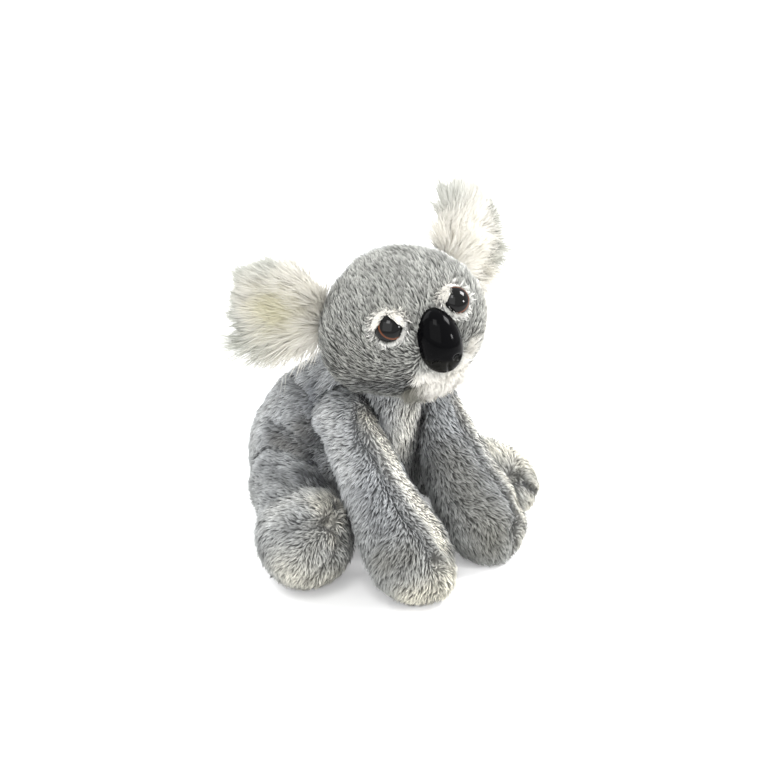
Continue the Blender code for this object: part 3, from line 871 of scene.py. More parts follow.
@dataclass(frozen=True)
class Pile:
    """A kind of pile: its tuft, how close the tufts stand and how they stray."""

    tuft: Tuft
    finish: PileFinish
    spacing: float
    stray_deg: float = 9.0
    lift_deg: float = 7.0
    lock_size: float = 1.9
    gather_deg: float = 90.0
    seed: int = 1

    def grow(self, skin: bpy.types.Object, name: str, share: np.ndarray) -> bpy.types.Object:
        """Grows the pile on a skin, or on some of it.

        Args:
            skin: the skin, with its comb, tone, length and fill values.
            name: the new object's name.
            share: how much of its fill each point of the skin gets.

        Returns:
            The pile as one plain mesh.
        """
        closet = bpy.data.collections.new(f"{name}_tufts")
        for mesh in self.tuft.meshes(self.seed):
            closet.objects.link(bpy.data.objects.new("tuft", mesh))
        thing = placed(name, skin.data.copy())
        fill = thing.data.attributes["fill"].data
        fill.foreach_set("value", read(fill, "value", 1)[:, 0] * share)
        modifier = thing.modifiers.new("pile", "NODES")
        modifier.node_group = pile_tree()
        coarse = 1.0
        given = {
            "Tufts": closet,
            "Spacing": self.spacing * MM * coarse,
            "Stray": math.radians(self.stray_deg),
            "Lift": math.radians(self.lift_deg),
            "Locks": 1 / (self.lock_size * MM),
            "Gather": math.radians(self.gather_deg),
            "Seed": self.seed,
            "Finish": finish_of(self.finish),
        }
        for item in modifier.node_group.interface.items_tree:
            if item.name in given:
                modifier[item.identifier] = given[item.name]
        graph = bpy.context.evaluated_depsgraph_get()
        grown = bpy.data.meshes.new_from_object(thing.evaluated_get(graph))
        thing.modifiers.clear()
        thing.data = grown
        grown.name = name
        points = read(grown.vertices, "co", 3)
        points[:, 2] = np.maximum(points[:, 2], FLOOR_GAP)
        grown.vertices.foreach_set("co", points.ravel())
        for loose in list(closet.objects):
            bpy.data.objects.remove(loose)
        bpy.data.collections.remove(closet)
        return thing


PILE_INPUTS = {
    "Skin": "Geometry",
    "Tufts": "Collection",
    "Spacing": "Float",
    "Stray": "Float",
    "Lift": "Float",
    "Locks": "Float",
    "Gather": "Float",
    "Seed": "Int",
    "Finish": "Material",
}
CROWDING = 2.5
LENGTHS = (0.78, 1.15)
WIDTHS = (0.85, 1.25)
OWN_SHADE, LOCK_SHADE, LOW_SHADE = 0.6, 1.1, 0.2
CELL_SHARE, CELL_EDGE = 0.84, 0.08


def pile_tree() -> bpy.types.NodeTree:
    """The tree that sets tufts on a skin, each turned to the comb, with a cell of its own in the map.

    Returns:
        The tree, built the first time that it is asked for.
    """
    found = bpy.data.node_groups.get("combed_pile")
    if found:
        return found
    tree = bpy.data.node_groups.new("combed_pile", "GeometryNodeTree")
    for name, kind in PILE_INPUTS.items():
        tree.interface.new_socket(name, in_out="INPUT", socket_type=f"NodeSocket{kind}")
    tree.interface.new_socket("Pile", in_out="OUTPUT", socket_type="NodeSocketGeometry")
    sheet = NodeSheet(tree)
    maths = sheet.maths
    given = sheet.add("NodeGroupInput").outputs

    def random(low: object, high: object, seed: int) -> Socket:
        """A random number for each tuft.

        Args:
            low: the least, as an output or a number.
            high: the most.
            seed: its own part of the seed.

        Returns:
            The number.
        """
        node = sheet.add("FunctionNodeRandomValue", data_type="FLOAT")
        sockets = [socket for socket in node.inputs if socket.enabled and socket.name in ("Min", "Max")]
        for socket, value in zip(sockets, (low, high)):
            sheet.join(value, socket)
        sheet.feed(node, Seed=maths("ADD", given["Seed"], seed))
        return next(socket for socket in node.outputs if socket.enabled)

    def either_way(name: str, seed: int) -> Socket:
        """A random turn of up to a given one, to either side."""
        return random(maths("MULTIPLY", given[name], -1.0), given[name], seed)

    def centred(value: Socket) -> Socket:
        """A noise's value about 0."""
        return maths("SUBTRACT", value, 0.5)

    scatter = sheet.add(
        "GeometryNodeDistributePointsOnFaces",
        distribute_method="POISSON",
        Mesh=given["Skin"],
        Distance_Min=given["Spacing"],
        Density_Max=maths("DIVIDE", CROWDING, maths("MULTIPLY", given["Spacing"], given["Spacing"])),
        Density_Factor=sheet.named("fill", Domain.NUMBER),
        Seed=given["Seed"],
    ).outputs
    upright = sheet.add("FunctionNodeAlignRotationToVector", axis="Z", Vector=scatter["Normal"])
    combed = sheet.add(
        "FunctionNodeAlignRotationToVector",
        axis="Y",
        pivot_axis="Z",
        Rotation=upright.outputs["Rotation"],
        Vector=sheet.named("comb", Domain.WAY),
    )
    here = sheet.add("GeometryNodeInputPosition").outputs["Position"]
    locks = sheet.add("ShaderNodeTexNoise", Vector=here, Scale=given["Locks"], Detail=1.0)
    shared = sheet.add("ShaderNodeSeparateXYZ", Vector=locks.outputs["Color"]).outputs
    turn = sheet.add(
        "ShaderNodeCombineXYZ",
        X=maths("ADD", either_way("Lift", 6), sheet.named("lift", Domain.NUMBER)),
        Z=maths("ADD", either_way("Stray", 5), maths("MULTIPLY", centred(shared["X"]), given["Gather"])),
    )
    strayed = sheet.add(
        "FunctionNodeRotateRotation",
        rotation_space="LOCAL",
        Rotation=combed.outputs["Rotation"],
        Rotate_By=turn.outputs["Vector"],
    )
    length = maths("MULTIPLY", sheet.named("length", Domain.NUMBER), random(*LENGTHS, 7))
    planted = sheet.add(
        "GeometryNodeInstanceOnPoints",
        Points=scatter["Points"],
        Instance=sheet.add(
            "GeometryNodeCollectionInfo",
            transform_space="ORIGINAL",
            Collection=given["Tufts"],
            Separate_Children=True,
            Reset_Children=True,
        ).outputs["Instances"],
        Pick_Instance=True,
        Rotation=strayed.outputs["Rotation"],
        Scale=sheet.add("ShaderNodeCombineXYZ", X=random(*WIDTHS, 8), Y=length, Z=length).outputs["Vector"],
    )
    common = maths("MULTIPLY_ADD", centred(shared["Y"]), LOCK_SHADE, LOW_SHADE)
    kept = {
        "shade": maths("MULTIPLY_ADD", random(0.0, 1.0, 9), OWN_SHADE, common),
        "tuft": sheet.add("GeometryNodeInputIndex").outputs["Index"],
    }
    geometry = planted.outputs["Instances"]
    for name, value in kept.items():
        geometry = sheet.add(
            "GeometryNodeStoreNamedAttribute",
            data_type="FLOAT",
            domain="INSTANCE",
            Geometry=geometry,
            Name=name,
            Value=value,
        ).outputs["Geometry"]
    geometry = sheet.add("GeometryNodeRealizeInstances", Geometry=geometry).outputs["Geometry"]
    count = sheet.add("GeometryNodeAttributeDomainSize", component="POINTCLOUD", Geometry=scatter["Points"])
    columns = maths("CEIL", maths("SQRT", count.outputs["Point Count"]))
    tuft = sheet.named("tuft", Domain.NUMBER)
    rows = maths("FLOOR", maths("DIVIDE", tuft, columns))
    cells = {"X": maths("FLOORED_MODULO", tuft, columns), "Y": rows}
    cell = sheet.add("ShaderNodeSeparateXYZ", Vector=sheet.named("cell", Domain.WAY)).outputs
    places = {}
    for axis, first in cells.items():
        inside = maths("MULTIPLY_ADD", cell[axis], CELL_SHARE, CELL_EDGE)
        places[axis] = maths("DIVIDE", maths("ADD", first, inside), columns)
    mapped = sheet.add(
        "GeometryNodeStoreNamedAttribute",
        data_type="FLOAT2",
        domain="CORNER",
        Geometry=geometry,
        Name="OFBake",
        Value=sheet.add("ShaderNodeCombineXYZ", **places).outputs["Vector"],
    )
    geometry = mapped.outputs["Geometry"]
    dressed = sheet.add("GeometryNodeSetMaterial", Geometry=geometry, Material=given["Finish"])
    sheet.add("NodeGroupOutput", Pile=dressed.outputs["Geometry"])
    return tree


HIDE_TUFT = Tuft(length=4.4, width=0.36, root_deg=46.0, tip_deg=83.0, spread=0.3)
FACE_TUFT = Tuft(length=3.9, width=0.35, root_deg=44.0, tip_deg=82.0, spread=0.28)
SILK_TUFT = Tuft(length=11.0, width=0.3, blades=5, root_deg=46.0, tip_deg=80.0, spread=0.32)
NAP_TUFT = Tuft(length=3.0, width=0.36, root_deg=50.0, tip_deg=84.0, spread=0.3)
CHIN_TUFT = Tuft(length=5.2, width=0.32, blades=4, root_deg=34.0, tip_deg=76.0)
LID_TUFT = Tuft(length=1.8, width=0.24, root_deg=50.0, tip_deg=82.0, spread=0.22)

HIDE_PILE = Pile(HIDE_TUFT, GREY_PILE, 0.78, stray_deg=7.0)
FACE_PILE = Pile(FACE_TUFT, FACE_COAT, 0.74, stray_deg=7.0, gather_deg=75.0)
SILK_PILE = Pile(SILK_TUFT, WHITE_PILE, 0.52, stray_deg=6.0, lift_deg=8.0, lock_size=4.0, gather_deg=150.0)
NAP_PILE = Pile(NAP_TUFT, EAR_BACK, 0.85)
CHIN_PILE = Pile(CHIN_TUFT, WHITE_PILE, 0.6)
LID_PILE = Pile(LID_TUFT, WHITE_PILE, 0.38)

BLUE_GREY = (0.42, 0.435, 0.445)
NEUTRAL = (0.40, 0.405, 0.38)
# Silver-grey cloth of the head's back, the ears' backs and under the eyes, also used as painted light on lit
# tops and sides.
SILVER_AND_LIT = (0.68, 0.69, 0.68)
# Cream cloth of the bib and the eyes, also used as painted light on lit feet, paws and a cheek.
CREAM_AND_LIT = (0.86, 0.84, 0.76)
# Cool painted shade, for folds, seams and what lies under the head and the jaw.
COOL_SHADE = (0.10, 0.11, 0.13)
# Warm painted shade, between parts, under the jaw and on sides turned from the lamps.
WARM_SHADE = (0.20, 0.195, 0.165)
WHITE = (0.86, 0.84, 0.785)
STRAW = (0.76, 0.73, 0.54)
PEARL = (0.64, 0.65, 0.60)
ASHEN = (0.60, 0.605, 0.56)
# The tone that the cloth goes towards at the floor: darker and warmer.
NEAR_FLOOR_TONE = (0.80, 0.79, 0.735)
IVORY = (0.93, 0.91, 0.83)
SHADOW = (0.17, 0.165, 0.15)
# The darkest painted shade, deep in the folds by the armpit and the hip.
DEEP_SHADE = (0.05, 0.053, 0.06)

LIMBS = tuple(f"{word}_{side.word}" for word in ("arm", "leg") for side in Side)
SKINS = tuple(f"{name}_skin" for name in ("head", "body", *LIMBS))
ACROSS = np.array((0.788, -0.616, 0.0))
ALOFT = np.array((0.26, 0.333, 0.906))
RIGHT_EYE_AT = (-24.78, -69.81, 122.36)
LEFT_EYE_AT = (3.75, -77.85, 129.75)
NOSE_AT = (-10.55, -82.04, 117.25)
HEAD_UP = Vector((-0.2325, 0.0168, 0.9725))


def seen(across: float, aloft: float) -> Point:
    """A direction as the photograph shows it: so far to the right and so far up."""
    return tuple(across * ACROSS + aloft * ALOFT)


def strokes_of(*rows: tuple[float, ...]) -> tuple[Stroke, ...]:
    """Strokes of the comb.

    Args:
        rows: each stroke's x, y and z, then its way, either seen across and up or as x, y and z.

    Returns:
        The strokes.
    """
    return tuple(Stroke(row[:3], row[3:] if len(row) == 6 else seen(*row[3:])) for row in rows)


def tints_of(*rows: tuple) -> tuple[Tint, ...]:
    """Tints of the cloth.

    Args:
        rows: each tint's colour, reach and strength, then the points of its line.

    Returns:
        The tints.
    """
    return tuple(Tint(Mark(tuple(path), reach), colour, strength) for colour, reach, strength, *path in rows)


def creases_of(*rows: tuple) -> tuple[Crease, ...]:
    """Folds and swells of a skin.

    Args:
        rows: each one's reach, depth and darkness as painted shade, then the points of its line.

    Returns:
        The creases.
    """
    return tuple(Crease(Mark(tuple(path), reach), depth, dark) for reach, depth, dark, *path in rows)


def others(*names: str) -> tuple[str, ...]:
    """The nodes of all skins but these."""
    return tuple(skin for skin in SKINS if skin.removesuffix("_skin") not in names)


def room_at(points: np.ndarray, nodes: tuple[str, ...], most: float) -> np.ndarray:
    """How much room each point has.

    Args:
        points: places in metres.
        nodes: the CAD nodes that may stand near.
        most: the distance in millimetres that counts as enough.

    Returns:
        Each point's distance from the nodes as a share of enough, up to 1.
    """
    built = bmesh.new()
    for node in nodes:
        built.from_mesh(frame["nodes"][node].data)
    tree = BVHTree.FromBMesh(built)
    built.free()
    gaps = (tree.find_nearest(Vector(point), most * MM)[3] for point in points)
    return np.array([1.0 if gap is None else gap / (most * MM) for gap in gaps])


@dataclass
class Cover:
    """One sewn cover: a skin over its CAD solids, and its pile."""

    name: str
    body: str
    replaced: tuple[str, ...]
    comb: Comb
    inside: tuple[str, ...] = ()
    extras: tuple[bpy.types.Mesh, ...] = ()
    pile: Pile = HIDE_PILE
    backing: BackingFinish = BACKING
    base: Colour = BLUE_GREY
    mottle: float = 0.2
    ragged: float = 0.15
    # the height in millimetres below which the cloth grows darker towards the floor
    handled: float = 50.0
    panels: tuple[Panel, ...] = ()
    creases: tuple[Crease, ...] = ()
    tints: tuple[Tint, ...] = ()
    bald: tuple[Mark, ...] = ()
    bare_side: Point | None = None
    longer: tuple[tuple[Mark, float], ...] = ()
    white: tuple[Mark, ...] = ()
    white_pile: Pile | None = None
    neighbours: tuple[str, ...] = ()
    room: float = 4.5
    # painted shade where another part stands close
    dim: float = 0.15
    shortest: float = 0.45
    broad_waves: float = 8.0
    fine_waves: float = 2.8
    fine_share: float = 0.6
    length_waves: float = 6.0
    lift_waves: float = 4.0
    lift_share: float = 0.12
    dimple_waves: float = 13.0
    voxel: float = 1.2
    smoothing: int = 12
    draw_in: float = 1.0
    dimple: float = 0.5
    filling_voxel: float = 1.6
    filling_gap: float = 0.8
    sectors: int = 1
    slot: str = "grey_plush"
    fill: float = 0.8
    floor: float = 0.15
    sole: float = 0.8
    facing: float = 0.6

    def build(self) -> None:
        """Builds the skin, grows its pile, in sectors and white places, and sets both on their body."""
        surface = self.skin()
        skin = placed(f"{self.name}_cloth", surface.mesh)
        dress(surface.mesh, self.backing)
        pieces = [skin]
        white = np.zeros(len(surface.points))
        for mark in self.white:
            white = np.maximum(white, mark.holds(surface.points))
        for index, share in enumerate(self.shares(surface.points)):
            label = f"_{index + 1}" if self.sectors > 1 else ""
            pieces.append(self.pile.grow(skin, f"{self.name}_pile{label}", share * (1 - white)))
        if self.white:
            pieces.append(self.white_pile.grow(skin, f"{self.name}_white_pile", white))
        for piece in pieces:
            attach(piece, self.body)
            LOG.info("%s: %d faces", piece.name, len(piece.data.polygons))
        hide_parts(*self.replaced)
        for node in self.inside:
            self.stuff(node)

    def stuff(self, node: str) -> None:
        """Builds what lies inside the cover, pressed in by the same folds.

        Args:
            node: the filling's CAD node.
        """
        surface = Surface.over(f"{node}_form", (node,), self.filling_voxel)
        surface.smooth(4)
        surface.push(self.presses(surface.points) - (self.draw_in + self.filling_gap) * MM)
        surface.write()
        filling = placed(f"{node}_form", surface.mesh)
        finish, slot = (BAG, "bag_cloth") if node == "pellet_bag" else (FILLING, "fibre_fill")
        dress(surface.mesh, finish)
        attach(filling, self.body)
        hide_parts(node)
        LOG.info("%s: %d faces", filling.name, len(surface.mesh.polygons))

    def presses(self, points: np.ndarray) -> np.ndarray:
        """How far the folds move each point.

        Args:
            points: places in metres.

        Returns:
            The ways outwards, in metres.
        """
        amounts = np.zeros(len(points))
        for crease in self.creases:
            amounts -= crease.depth * MM * crease.mark.share(points)
        return amounts

    def shares(self, points: np.ndarray) -> list[np.ndarray]:
        """The sectors of the pile, by the turn round the cover's middle.

        Args:
            points: the skin's points.

        Returns:
            For each sector, 1 at its own points and 0 elsewhere.
        """
        apart = points - points.mean(axis=0)
        turns = (np.arctan2(apart[:, 1], apart[:, 0]) / (2 * math.pi) + 0.5) * self.sectors
        return [(np.floor(turns).astype(int) % self.sectors == index) * 1.0 for index in range(self.sectors)]

    def skin(self) -> Surface:
        """The cover's surface, folded, painted and combed.

        Returns:
            The surface, with its tone, comb, length, fill and lift at each point.
        """
        surface = Surface.over(self.name, (*self.replaced, *self.inside), self.voxel, self.extras)
        surface.smooth(self.smoothing)
        self.shape(surface)
        surface.above(self.floor)
        normals = surface.normals()
        points = surface.points
        near = room_at(points, self.neighbours, self.room) if self.neighbours else np.ones(len(points))
        short = np.clip(self.shortest + (1 - self.shortest) * near, 0, 1)
        surface.store("comb", Domain.WAY, self.comb.ways(points, normals))
        surface.store("tone", Domain.TONE, self.tones(points, near))
        surface.store("length", Domain.NUMBER, self.lengths(points) * short)
        surface.store("fill", Domain.NUMBER, self.fills(points, normals))
        surface.store("lift", Domain.NUMBER, self.lift_share * wander(points, self.lift_waves, 5.0))
        return surface

    def shape(self, surface: Surface) -> None:
        """Draws the skin in under its pile and presses its folds and seams.

        Args:
            surface: the skin.
        """
        amounts = np.full(len(surface.points), -self.draw_in * MM)
        amounts += self.dimple * MM * wander(surface.points, self.dimple_waves, 3.0)
        surface.push(amounts + self.presses(surface.points))
        surface.smooth(1)

    def tones(self, points: np.ndarray, near: np.ndarray) -> np.ndarray:
        """The cloth's colour at each point: panels, mottle, tints, painted shade in folds and by neighbours,
        darker at the floor.

        Args:
            points: the skin's points.
            near: how much room each has, from 0 to 1.

        Returns:
            A colour for each point, with an alpha of 1.
        """
        tone = np.tile(np.array(self.base), (len(points), 1))
        for panel in self.panels:
            tone = towards(tone, panel.colour, panel.share(points))
        waves = wander(points, self.broad_waves, 1.0)
        waves += self.fine_share * wander(points, self.fine_waves, 2.0)
        tone = tone * (1 + self.mottle * waves)[:, None]
        # tints: the cloth's own colours, and also painted shade and painted light
        for tint in self.tints:
            tone = towards(tone, tint.colour, np.minimum(tint.strength * tint.mark.share(points), 1))
        # painted shade in the folds and seams
        for crease in self.creases:
            tone = towards(tone, COOL_SHADE, crease.dark * crease.mark.share(points))
        # painted shade where another part stands close
        tone = tone * (1 - self.dim + self.dim * near)[:, None]
        # darker and warmer towards the floor
        height = np.clip(points[:, 2] / (self.handled * MM), 0, 1)[:, None]
        tone = tone * (np.array(NEAR_FLOOR_TONE) + (1 - np.array(NEAR_FLOOR_TONE)) * height)
        return np.column_stack([np.clip(tone, 0, 1), np.ones(len(points))])

    def lengths(self, points: np.ndarray) -> np.ndarray:
        """The pile's length at each point.

        Args:
            points: the skin's points.

        Returns:
            The lengths as shares of the tuft's own.
        """
        length = 1 + self.ragged * wander(points, self.length_waves, 4.0)
        for mark, factor in self.longer:
            length *= 1 + (factor - 1) * mark.share(points)
        return length

    def fills(self, points: np.ndarray, normals: np.ndarray) -> np.ndarray:
        """How thickly the pile stands at each point: not under the koala, nor in a bald place.

        Args:
            points: the skin's points.
            normals: its outward normals.

        Returns:
            From 0 to 1 for each point.
        """
        bare = (points[:, 2] < self.sole * MM) & (normals[:, 2] < -self.facing)
        for mark in self.bald:
            bare |= mark.holds(points)
        if self.bare_side:
            bare |= normals @ np.array(self.bare_side) > self.facing
        return np.where(bare, 0.0, 1.0)


@dataclass
class Trunk:
    """The body's cover: creased from the armpits, with a pale bib and pile that runs round it."""

    comb: Comb = Comb(
        strokes_of(
            (-33, -16, 62, -0.85, -0.3), (-31, 2, 64, -0.9, -0.4), (-42, 4, 41, -0.95, -0.25),
            (-37, -21, 45, -0.9, -0.2), (-42, -5, 25, -0.8, -0.6), (-4, -48, 55, 0.05, -1),
            (0, -46, 30, 0.1, -1), (37, -21, 45, 0.5, 0.7, -0.5), (42, 4, 41, 0.2, 0.9, -0.3),
            (0, 39, 60, 0, 0.2, -1), (0, 40, 25, 0, 0.1, -1), (0, 15, 88, 0, 1, -0.3),
        ),
        waver_deg=20.0,
    )
    # The darkness of each fold and of the back seam is painted shade.
    folds: tuple[Crease, ...] = creases_of(
        (3.2, 3.2, 0.75, (-31, -28, 57), (-33, -23, 61), (-32, -15, 65)),
        (2.8, 3.8, 0.85, (-31, -30, 50), (-36, -20, 53), (-38, -7, 55), (-38, 2, 55)),
        (3.0, 2.2, 0.8, (-32, -29, 50), (-34, -27, 44), (-38, -29, 41)),
        (2.0, 1.8, 0.5, (-23, 3, 72), (-27, -13, 72), (-29, -21, 68)),
        (2.6, 1.8, 0.45, (-10, -44, 70), (-11, -46, 58), (-9, -47, 50)),
        (3.2, 1.4, 0.25, (40, -6, 66), (35, -20, 60), (31, -30, 54)),
        (3.4, 1.6, 0.35, (42, -2, 32), (38, -20, 38), (33, -30, 42)),
        (1.4, 0.9, 0.3, (0, 41, 10), (0, 42, 35), (0, 36, 65), (0, 22, 84)),
        (12.0, -1.4, 0.0, (-36, 10, 66), (-42, 14, 53)),
    )
    # The cream bib is the cloth's own; the rest are painted: shade low on the belly, light on the bulging
    # back side, and shade in the folds by the armpit and under the head.
    tints: tuple[Tint, ...] = tints_of(
        (CREAM_AND_LIT, 9.0, 0.75, (4, -46, 70), (0, -50, 52)),
        (WARM_SHADE, 9.0, 0.7, (-6, -46, 38), (4, -48, 30)),
        (SILVER_AND_LIT, 9.0, 0.5, (-34, 10, 62), (-41, 12, 46)),
        (SHADOW, 5.5, 0.85, (-32, -27, 57), (-34, -19, 60)),
        (SHADOW, 5.0, 0.75, (-35, -22, 50), (-39, -7, 51)),
        (COOL_SHADE, 5.0, 0.75, (-25, -14, 77), (-29, -22, 68)),
        (DEEP_SHADE, 4.2, 1.0, (-33, -30, 42), (-34, -27, 48), (-34, -25, 54)),
        (DEEP_SHADE, 2.6, 0.85, (-31, -28, 57), (-33, -24, 61)),
    )
    under_head: Mark = Mark(((0, -39, 93),), 15.0)

    def build(self) -> None:
        """Builds the body's cover."""
        Cover(
            name="body",
            body="body",
            replaced=("body_skin",),
            inside=("body_stuffing", "pellet_bag"),
            comb=self.comb,
            creases=self.folds,
            tints=self.tints,
            bald=(self.under_head,),
            neighbours=others("body"),
            sectors=3,
        ).build()


@dataclass
class Head:
    """The head's cover: a face panel, a paler back panel, and white fur round the eyes and the mouth."""

    back: Panel = Panel((-11, -36, 140), (0.497, 0.842, -0.211), SILVER_AND_LIT)
    comb: Comb = Comb(
        strokes_of(
            (-26, -41, 131, -0.5, 0.85), (-17, -68, 133, -0.4, 0.9), (0, -73, 134, -0.35, 0.95),
            (13, -77, 128, -0.1, 1), (17, -80, 109, 0.1, 1), (-34, -52, 118, -0.4, 0.9),
            (-35, -43, 106, -0.5, 0.8), (-31, -62, 100, -0.7, 0.7), (-20, -68, 92, -0.8, 0.6),
            (-8, -56, 144, -0.5, 0.8), (34, -60, 112, 0.3, 0.9, 0.2), (0, -30, 144, 0, 1, 0.1),
            (0, -15, 118, 0, 0.2, -1), (0, -50, 80, 0, 1, 0), (-5, -80, 103, 0.1, -0.5, -1),
        ),
        waver_deg=13.0,
        waver_size=7.0,
    )
    mouth: Mark = Mark(((-13, -79, 100), (-11, -80, 99), (-5, -83, 99), (4, -83, 102), (9, -82, 108)), 3.8)
    # The seam between the panels is darkened with painted shade; the other rows carry no shade.
    folds: tuple[Crease, ...] = creases_of(
        (1.1, 0.9, 0.55, (-31, -26, 122), (-22, -31, 129), (-11, -36, 140), (3, -42, 144), (14, -49, 142)),
        (17.0, -2.6, 0.0, (-38, -45, 105), (-36, -46, 120)),
        (14.0, 1.0, 0.0, (32, -75, 112)),
        (7.0, -1.2, 0.0, (-8, -83, 103)),
        (8.0, -1.6, 0.0, (-37, -48, 98), (-30, -52, 93)),
        (12.0, -1.3, 0.0, (-22, -22, 136), (-10, -26, 142)),
    )
    # Painted light on the cheek turned to the lamp, painted shade low on the cheek and under the jaw, and
    # the cloth's own cream round the eyes.
    tints: tuple[Tint, ...] = tints_of(
        (CREAM_AND_LIT, 8.0, 0.6, (20, -74, 108), (26, -68, 118)),
        (WARM_SHADE, 9.0, 0.28, (-33, -56, 108), (-22, -68, 94)),
        (COOL_SHADE, 6.5, 0.55, (-15, -75, 94), (-24, -68, 91), (-30, -60, 90)),
        (CREAM_AND_LIT, 8.5, 0.2, RIGHT_EYE_AT),
        (CREAM_AND_LIT, 8.5, 0.2, LEFT_EYE_AT),
    )

    def build(self) -> None:
        """Builds the head's cover, bald under the nose and the eyes."""
        Cover(
            name="head",
            body="head",
            replaced=("head_skin",),
            inside=("head_stuffing",),
            pile=FACE_PILE,
            base=NEUTRAL,
            comb=self.comb,
            panels=(self.back,),
            creases=self.folds,
            tints=(*self.tints, Tint(self.mouth, WHITE, 1.6)),
            longer=((self.mouth, 1.1),),
            white=(self.mouth,),
            white_pile=CHIN_PILE,
            bald=(Mark((NOSE_AT,), 7.0), Mark((RIGHT_EYE_AT,), 5.0), Mark((LEFT_EYE_AT,), 5.0)),
            neighbours=("arm_right_skin", "arm_left_skin", "body_skin"),
            dimple=0.35,
            sectors=3,
        ).build()


@dataclass
class Limb:
    """An arm or a leg: a sewn cover whose seams meet in a star.

    Its first seam is its front one. A press is a crease's reach, depth and darkness as painted shade.
    """

    side: Side
    star: Point
    seams: tuple[tuple[Point, ...], ...]
    strokes: tuple[Stroke, ...]
    tints: tuple[Tint, ...]
    folds: tuple[Crease, ...] = ()
    short: tuple[Point, ...] = ()
    short_reach: float = 4.5
    short_share: float = 0.5
    word: str = ""
    joined: tuple[str, ...] = ()
    waver_deg: float = 18.0
    parting: float = 3.0
    parted: float = 0.95
    star_parting: float = 6.0
    star_parted: float = 0.8
    # The third number of each press is its painted shade.
    front_press: tuple[float, float, float] = (1.5, 3.0, 1.0)
    press: tuple[float, float, float] = (1.5, 2.2, 0.85)
    star_press: tuple[float, float, float] = (2.6, 1.4, 0.5)
    front_bald: float = 1.4
    bald: float = 1.1
    trim: float = 2.4
    trimmed: float = 0.4

    def build(self) -> None:
        """Builds the limb's cover."""
        name = f"{self.word}_{self.side.word}"
        front, *rest = self.seams
        partings = [Parting(Mark(path, self.parting), self.parted) for path in self.seams]
        partings.append(Parting(Mark((self.star,), self.star_parting), self.star_parted))
        presses = [(*self.front_press, *front), *((*self.press, *path) for path in rest)]
        longer = [(Mark(path, self.trim), self.trimmed) for path in self.seams]
        if self.short:
            longer.append((Mark(self.short, self.short_reach), self.short_share))
        Cover(
            name=name,
            body=name,
            replaced=(f"{name}_skin",),
            inside=(f"{name}_stuffing",),
            comb=Comb(self.strokes, tuple(partings), waver_deg=self.waver_deg),
            bald=(Mark(front, self.front_bald), *(Mark(path, self.bald) for path in rest)),
            creases=(*creases_of(*presses, (*self.star_press, self.star)), *self.folds),
            tints=self.tints,
            longer=tuple(longer),
            neighbours=others(name, *self.joined),
        ).build()


@dataclass
class Arm(Limb):
    """An arm: a front seam down to a star on the paw, with a paler strip on its outer side."""

    word: str = "arm"


@dataclass
class Leg(Limb):
    """A leg: a round thigh and a foot whose seams meet in a star."""

    word: str = "leg"
    joined: tuple[str, ...] = ("body",)
    parting: float = 3.2
    star_parting: float = 7.0
    star_parted: float = 0.7
    front_press: tuple[float, float, float] = (1.6, 2.6, 0.95)
    press: tuple[float, float, float] = (1.6, 2.6, 0.95)
    star_press: tuple[float, float, float] = (3.0, 1.6, 0.35)
    front_bald: float = 1.1
    trimmed: float = 0.45


RIGHT_ARM = Arm(
    side=Side.RIGHT,
    star=(-22, -100, 22),
    seams=(
        (
            (-21, -46, 75), (-27, -53, 67), (-24, -62, 58), (-25, -70, 49), (-25, -82, 39), (-23, -90, 33),
            (-22, -100, 22),
        ),
        ((-22, -100, 22), (-17, -100, 19), (-11, -99, 17)),
        ((-22, -100, 22), (-24, -103, 13), (-25, -102, 6)),
    ),
    strokes=strokes_of(
        (-30, -39, 79, -0.95, -0.2), (-34, -44, 68, -0.95, -0.25), (-36, -54, 53, -0.8, -0.5),
        (-30, -66, 50, -0.7, -0.6), (-40, -69, 36, -0.6, -0.8), (-34, -84, 32, -0.5, -0.8),
        (-42, -83, 23, -0.4, -0.9), (-19, -60, 59, 0.4, -0.9), (-19, -74, 46, 0.45, -0.9),
        (-17, -88, 33, 0.4, -0.9), (-8, -70, 30, 0.2, -0.6, -0.8),
    ),
    # The ivory strip is the cloth's own; painted light on the shoulder and the paw's tip, painted shade by
    # the foot and on the side turned from the lamp.
    tints=tints_of(
        (IVORY, 5.0, 1.3, (-18, -48, 72), (-17, -62, 58), (-16, -76, 45), (-14, -94, 28)),
        (SILVER_AND_LIT, 6.0, 0.6, (-34, -40, 74), (-38, -56, 54)),
        (CREAM_AND_LIT, 9.0, 1.2, (-33, -100, 8), (-14, -102, 14)),
        (WARM_SHADE, 7.0, 0.6, (-38, -86, 24), (-31, -92, 27)),
        (COOL_SHADE, 6.0, 0.2, (-32, -66, 50), (-34, -80, 36)),
    ),
    folds=creases_of(
        (6.0, -0.9, 0.0, (-32, -58, 60), (-34, -72, 44)),
        (3.4, -1.3, 0.0, (-17, -55, 64), (-15, -72, 48), (-13, -88, 32)),
        (8.0, -1.6, 0.0, (-16, -102, 12)),
    ),
    short=((-18, -52, 68), (-17, -64, 56), (-16, -78, 43), (-15, -94, 28)),
)
